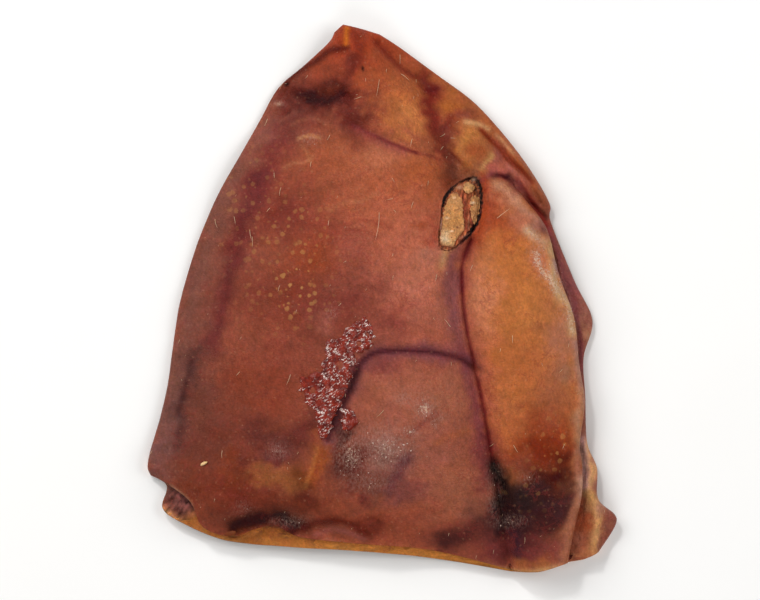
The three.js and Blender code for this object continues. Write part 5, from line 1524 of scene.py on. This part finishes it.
def make_crumbs(settings):
    """Crumbs of dried fat where the skin is crumbly, most of them where it is most so, and one sliver."""
    points, _, area, crumbly = skin_surface()
    rng = np.random.default_rng(CRUMB_SEED)
    weight, count = area * crumbly**3, settings.count
    chosen = rng.choice(len(points), count, replace=False, p=weight / weight.sum())
    size = settings.size / MM / 2 * rng.lognormal(0, CRUMB_SPREAD, (count, 1))
    axes = size * rng.uniform(*CRUMB_AXES, (count, 3))
    jitter = rng.normal(0, CRUMB_JITTER, (count, 3)) * [1, 1, 0]
    form, faces = lumps_at(points[chosen] + jitter, axes, rng.uniform(0, math.pi, count), *CRUMB_GRID, rng)
    piece("fat_crumbs", form, faces, dried_fat(settings.tone), "gristle")
    at, axes, turn = SLIVER
    middle = np.array([[*(np.array(at) * PERCENT), 0]])
    middle[0, 2] = skin_height(middle[:, :2])[0] + axes[2]
    form, faces = lumps_at(middle, np.array([axes]), np.radians([turn]), *SLIVER_GRID, rng)
    piece("fat_sliver", form, faces, dried_fat(settings.sliver), "gristle")


def make_stage(settings):
    """A pale floor and room, four soft lights and the camera, straight above."""
    scene = bpy.context.scene
    scene.world = bpy.data.worlds.new("pale_room")
    scene.world.use_nodes = True
    sky = scene.world.node_tree.nodes["Background"].inputs
    sky["Color"].default_value = (1, 1, 1, 1)
    sky["Strength"].default_value = settings.room
    mesh = bpy.data.meshes.new("floor")
    half = FLOOR_SIZE / 2
    corners = [(-half, -half, 0), (half, -half, 0), (half, half, 0), (-half, half, 0)]
    mesh.from_pydata(corners, [], [(0, 1, 2, 3)])
    mesh.materials.append(matt_floor(settings.floor))
    floor = bpy.data.objects.new("floor", mesh)
    scene.collection.objects.link(floor)
    for name, (at, size, share) in LIGHTS.items():
        light = bpy.data.lights.new(name, "AREA")
        light.size = size
        light.energy = settings.power * share
        lamp = bpy.data.objects.new(name, light)
        lamp.location = at
        lamp.rotation_euler = (-Vector(at)).to_track_quat("-Z", "Y").to_euler()
        scene.collection.objects.link(lamp)
    camera = bpy.data.cameras.new("camera")
    camera.lens = LENS
    camera.clip_end = FAR_CLIP
    eye = bpy.data.objects.new("camera", camera)
    height = FRAME_WIDTH * MM / camera.sensor_width * LENS + FRAME_LEVEL * MM
    eye.location = (*(np.array(FRAME_MIDDLE) * MM), height)
    scene.collection.objects.link(eye)
    scene.camera = eye
    scene.view_settings.view_transform = "Standard"


def size(name, description, default):
    """A size that a user may change, given in mm."""
    return bpy.props.FloatProperty(name=name, description=description, default=default * MM, min=0,
                                   unit="LENGTH", precision=5)


def tone(name, description, default):
    """A colour that a user may change, kept as sRGB shares."""
    return bpy.props.FloatVectorProperty(name=name, description=description, default=shares(default), min=0,
                                         max=1, subtype="COLOR_GAMMA")


class SkinSettings(bpy.types.PropertyGroup):
    """Grounds of the skin, under its stains, and the painted shade of the crevice."""

    blade: tone("Blade", "Ground of the large thin sheet", "#914c38")
    band: tone("Band", "Ground of the folded band", "#b36838")
    layer: tone("Layer", "Ground of the layer under the band", "#84483a")
    # The crevice's tone is a painted shade under the lip
    crevice: tone("Crevice", "Inside of the crevice under the lip", "#6a3028")
    underside: tone("Underside", "Ground of the inner side of the ear", "#8a5038")


class WoundSettings(bpy.types.PropertyGroup):
    """Colour of the gristle."""

    gristle: tone("Gristle", "Ground of the cut gristle", "#bd8350")


class CrustSettings(bpy.types.PropertyGroup):
    """Thickness and colours of the dried juice."""

    thickness: size("Thickness", "Thickness of the dried juice, without its nodules", 0.4)
    thick: tone("Thick juice", "Colour where the juice dried thick", "#540f08")
    thin: tone("Thin juice", "Colour where the juice dried thin", "#962c18")


class BristleSettings(bpy.types.PropertyGroup):
    """Number, size and colour of the bristles."""

    count: bpy.props.IntProperty(name="Stubs", description="Number of short bristles", default=130, min=0,
                                 max=2000)
    length: size("Length", "Usual length of a short bristle", 1.3)
    thickness: size("Thickness", "Thickness of a bristle at its root", 0.15)
    tone: tone("Bristle", "Colour of the bristles", "#c9a682")


class CrumbSettings(bpy.types.PropertyGroup):
    """Number, size and colours of the crumbs of fat."""

    count: bpy.props.IntProperty(name="Crumbs", description="Number of crumbs", default=200, min=1, max=3000)
    size: size("Size", "Usual width of a crumb", 0.26)
    tone: tone("Crumb", "Colour of the crumbs", "#c4a696")
    sliver: tone("Sliver", "Colour of the sliver of fat", "#e6bd84")


class StageSettings(bpy.types.PropertyGroup):
    """Light and floor."""

    room: bpy.props.FloatProperty(name="Room", description="Strength of the pale room's light", default=0.14,
                                  min=0)
    power: bpy.props.FloatProperty(name="Lamps", description="Power of all the lamps", default=10.5, min=0,
                                   unit="POWER")
    floor: tone("Floor", "Colour of the floor", "#f8f7f5")


class EAR_OT_stage(bpy.types.Operator):
    """Make the pale floor, the soft light and the camera"""

    bl_idname = "ear.make_stage"
    bl_label = "Stage"

    def execute(self, context):
        make_stage(context.scene.ear_stage)
        return {"FINISHED"}


class EAR_OT_skin(bpy.types.Operator):
    """Make the skin: both sides of the sheet, the folded band, the crevice and the cut face"""

    bl_idname = "ear.make_skin"
    bl_label = "Skin"

    def execute(self, context):
        make_skin(context.scene.ear_skin)
        return {"FINISHED"}


class EAR_OT_wound(bpy.types.Operator):
    """Make the torn face of the wound, set in the pit of the skin"""

    bl_idname = "ear.make_wound"
    bl_label = "Wound"

    def execute(self, context):
        make_wound(context.scene.ear_skin)
        return {"FINISHED"}


class EAR_OT_gristle(bpy.types.Operator):
    """Make the three pieces of gristle that show in the wound"""

    bl_idname = "ear.make_gristle"
    bl_label = "Gristle"

    def execute(self, context):
        make_gristle(context.scene.ear_wound)
        return {"FINISHED"}


class EAR_OT_crust(bpy.types.Operator):
    """Make the two patches of dried juice"""

    bl_idname = "ear.make_crust"
    bl_label = "Crust of dried juice"

    def execute(self, context):
        make_crust(context.scene.ear_crust)
        return {"FINISHED"}


def need_skin():
    """Stops with an error where there is no skin to set things in."""
    if "ear_skin" not in bpy.data.objects:
        raise RuntimeError("There is no skin yet: make the skin first")


class EAR_OT_bristles(bpy.types.Operator):
    """Set bristles in the skin. The skin must be there first"""

    bl_idname = "ear.make_bristles"
    bl_label = "Bristles"

    def execute(self, context):
        need_skin()
        make_bristles(context.scene.ear_bristles)
        return {"FINISHED"}


class EAR_OT_crumbs(bpy.types.Operator):
    """Lay crumbs of dried fat on the skin. The skin must be there first"""

    bl_idname = "ear.make_crumbs"
    bl_label = "Crumbs"

    def execute(self, context):
        need_skin()
        make_crumbs(context.scene.ear_crumbs)
        return {"FINISHED"}


OPERATORS = (EAR_OT_stage, EAR_OT_skin, EAR_OT_wound, EAR_OT_gristle, EAR_OT_crust, EAR_OT_bristles,
             EAR_OT_crumbs)
SETTINGS = {"ear_stage": StageSettings, "ear_skin": SkinSettings, "ear_wound": WoundSettings,
            "ear_crust": CrustSettings, "ear_bristles": BristleSettings, "ear_crumbs": CrumbSettings}


class EAR_PT_panel(bpy.types.Panel):
    """The pieces of the ear, their sizes and colours"""

    bl_idname = "EAR_PT_panel"
    bl_label = "Dried pig ear"
    bl_space_type = "VIEW_3D"
    bl_region_type = "UI"
    bl_category = "Ear"

    def draw(self, context):
        for operator in OPERATORS:
            self.layout.operator(operator.bl_idname)
        for group, kind in SETTINGS.items():
            for name in kind.__annotations__:
                self.layout.prop(getattr(context.scene, group), name)


CLASSES = (*SETTINGS.values(), *OPERATORS, EAR_PT_panel)


def register():
    for made in CLASSES:
        bpy.utils.register_class(made)
    for name, kind in SETTINGS.items():
        setattr(bpy.types.Scene, name, bpy.props.PointerProperty(type=kind))


def unregister():
    for name in SETTINGS:
        delattr(bpy.types.Scene, name)
    for made in reversed(CLASSES):
        bpy.utils.unregister_class(made)


def main():
    """Makes everything in order."""
    register()
    bpy.ops.ear.make_stage()
    bpy.ops.ear.make_skin()
    bpy.ops.ear.make_wound()
    bpy.ops.ear.make_gristle()
    bpy.ops.ear.make_crust()
    bpy.ops.ear.make_bristles()
    bpy.ops.ear.make_crumbs()


if __name__ == "__main__":
    main()
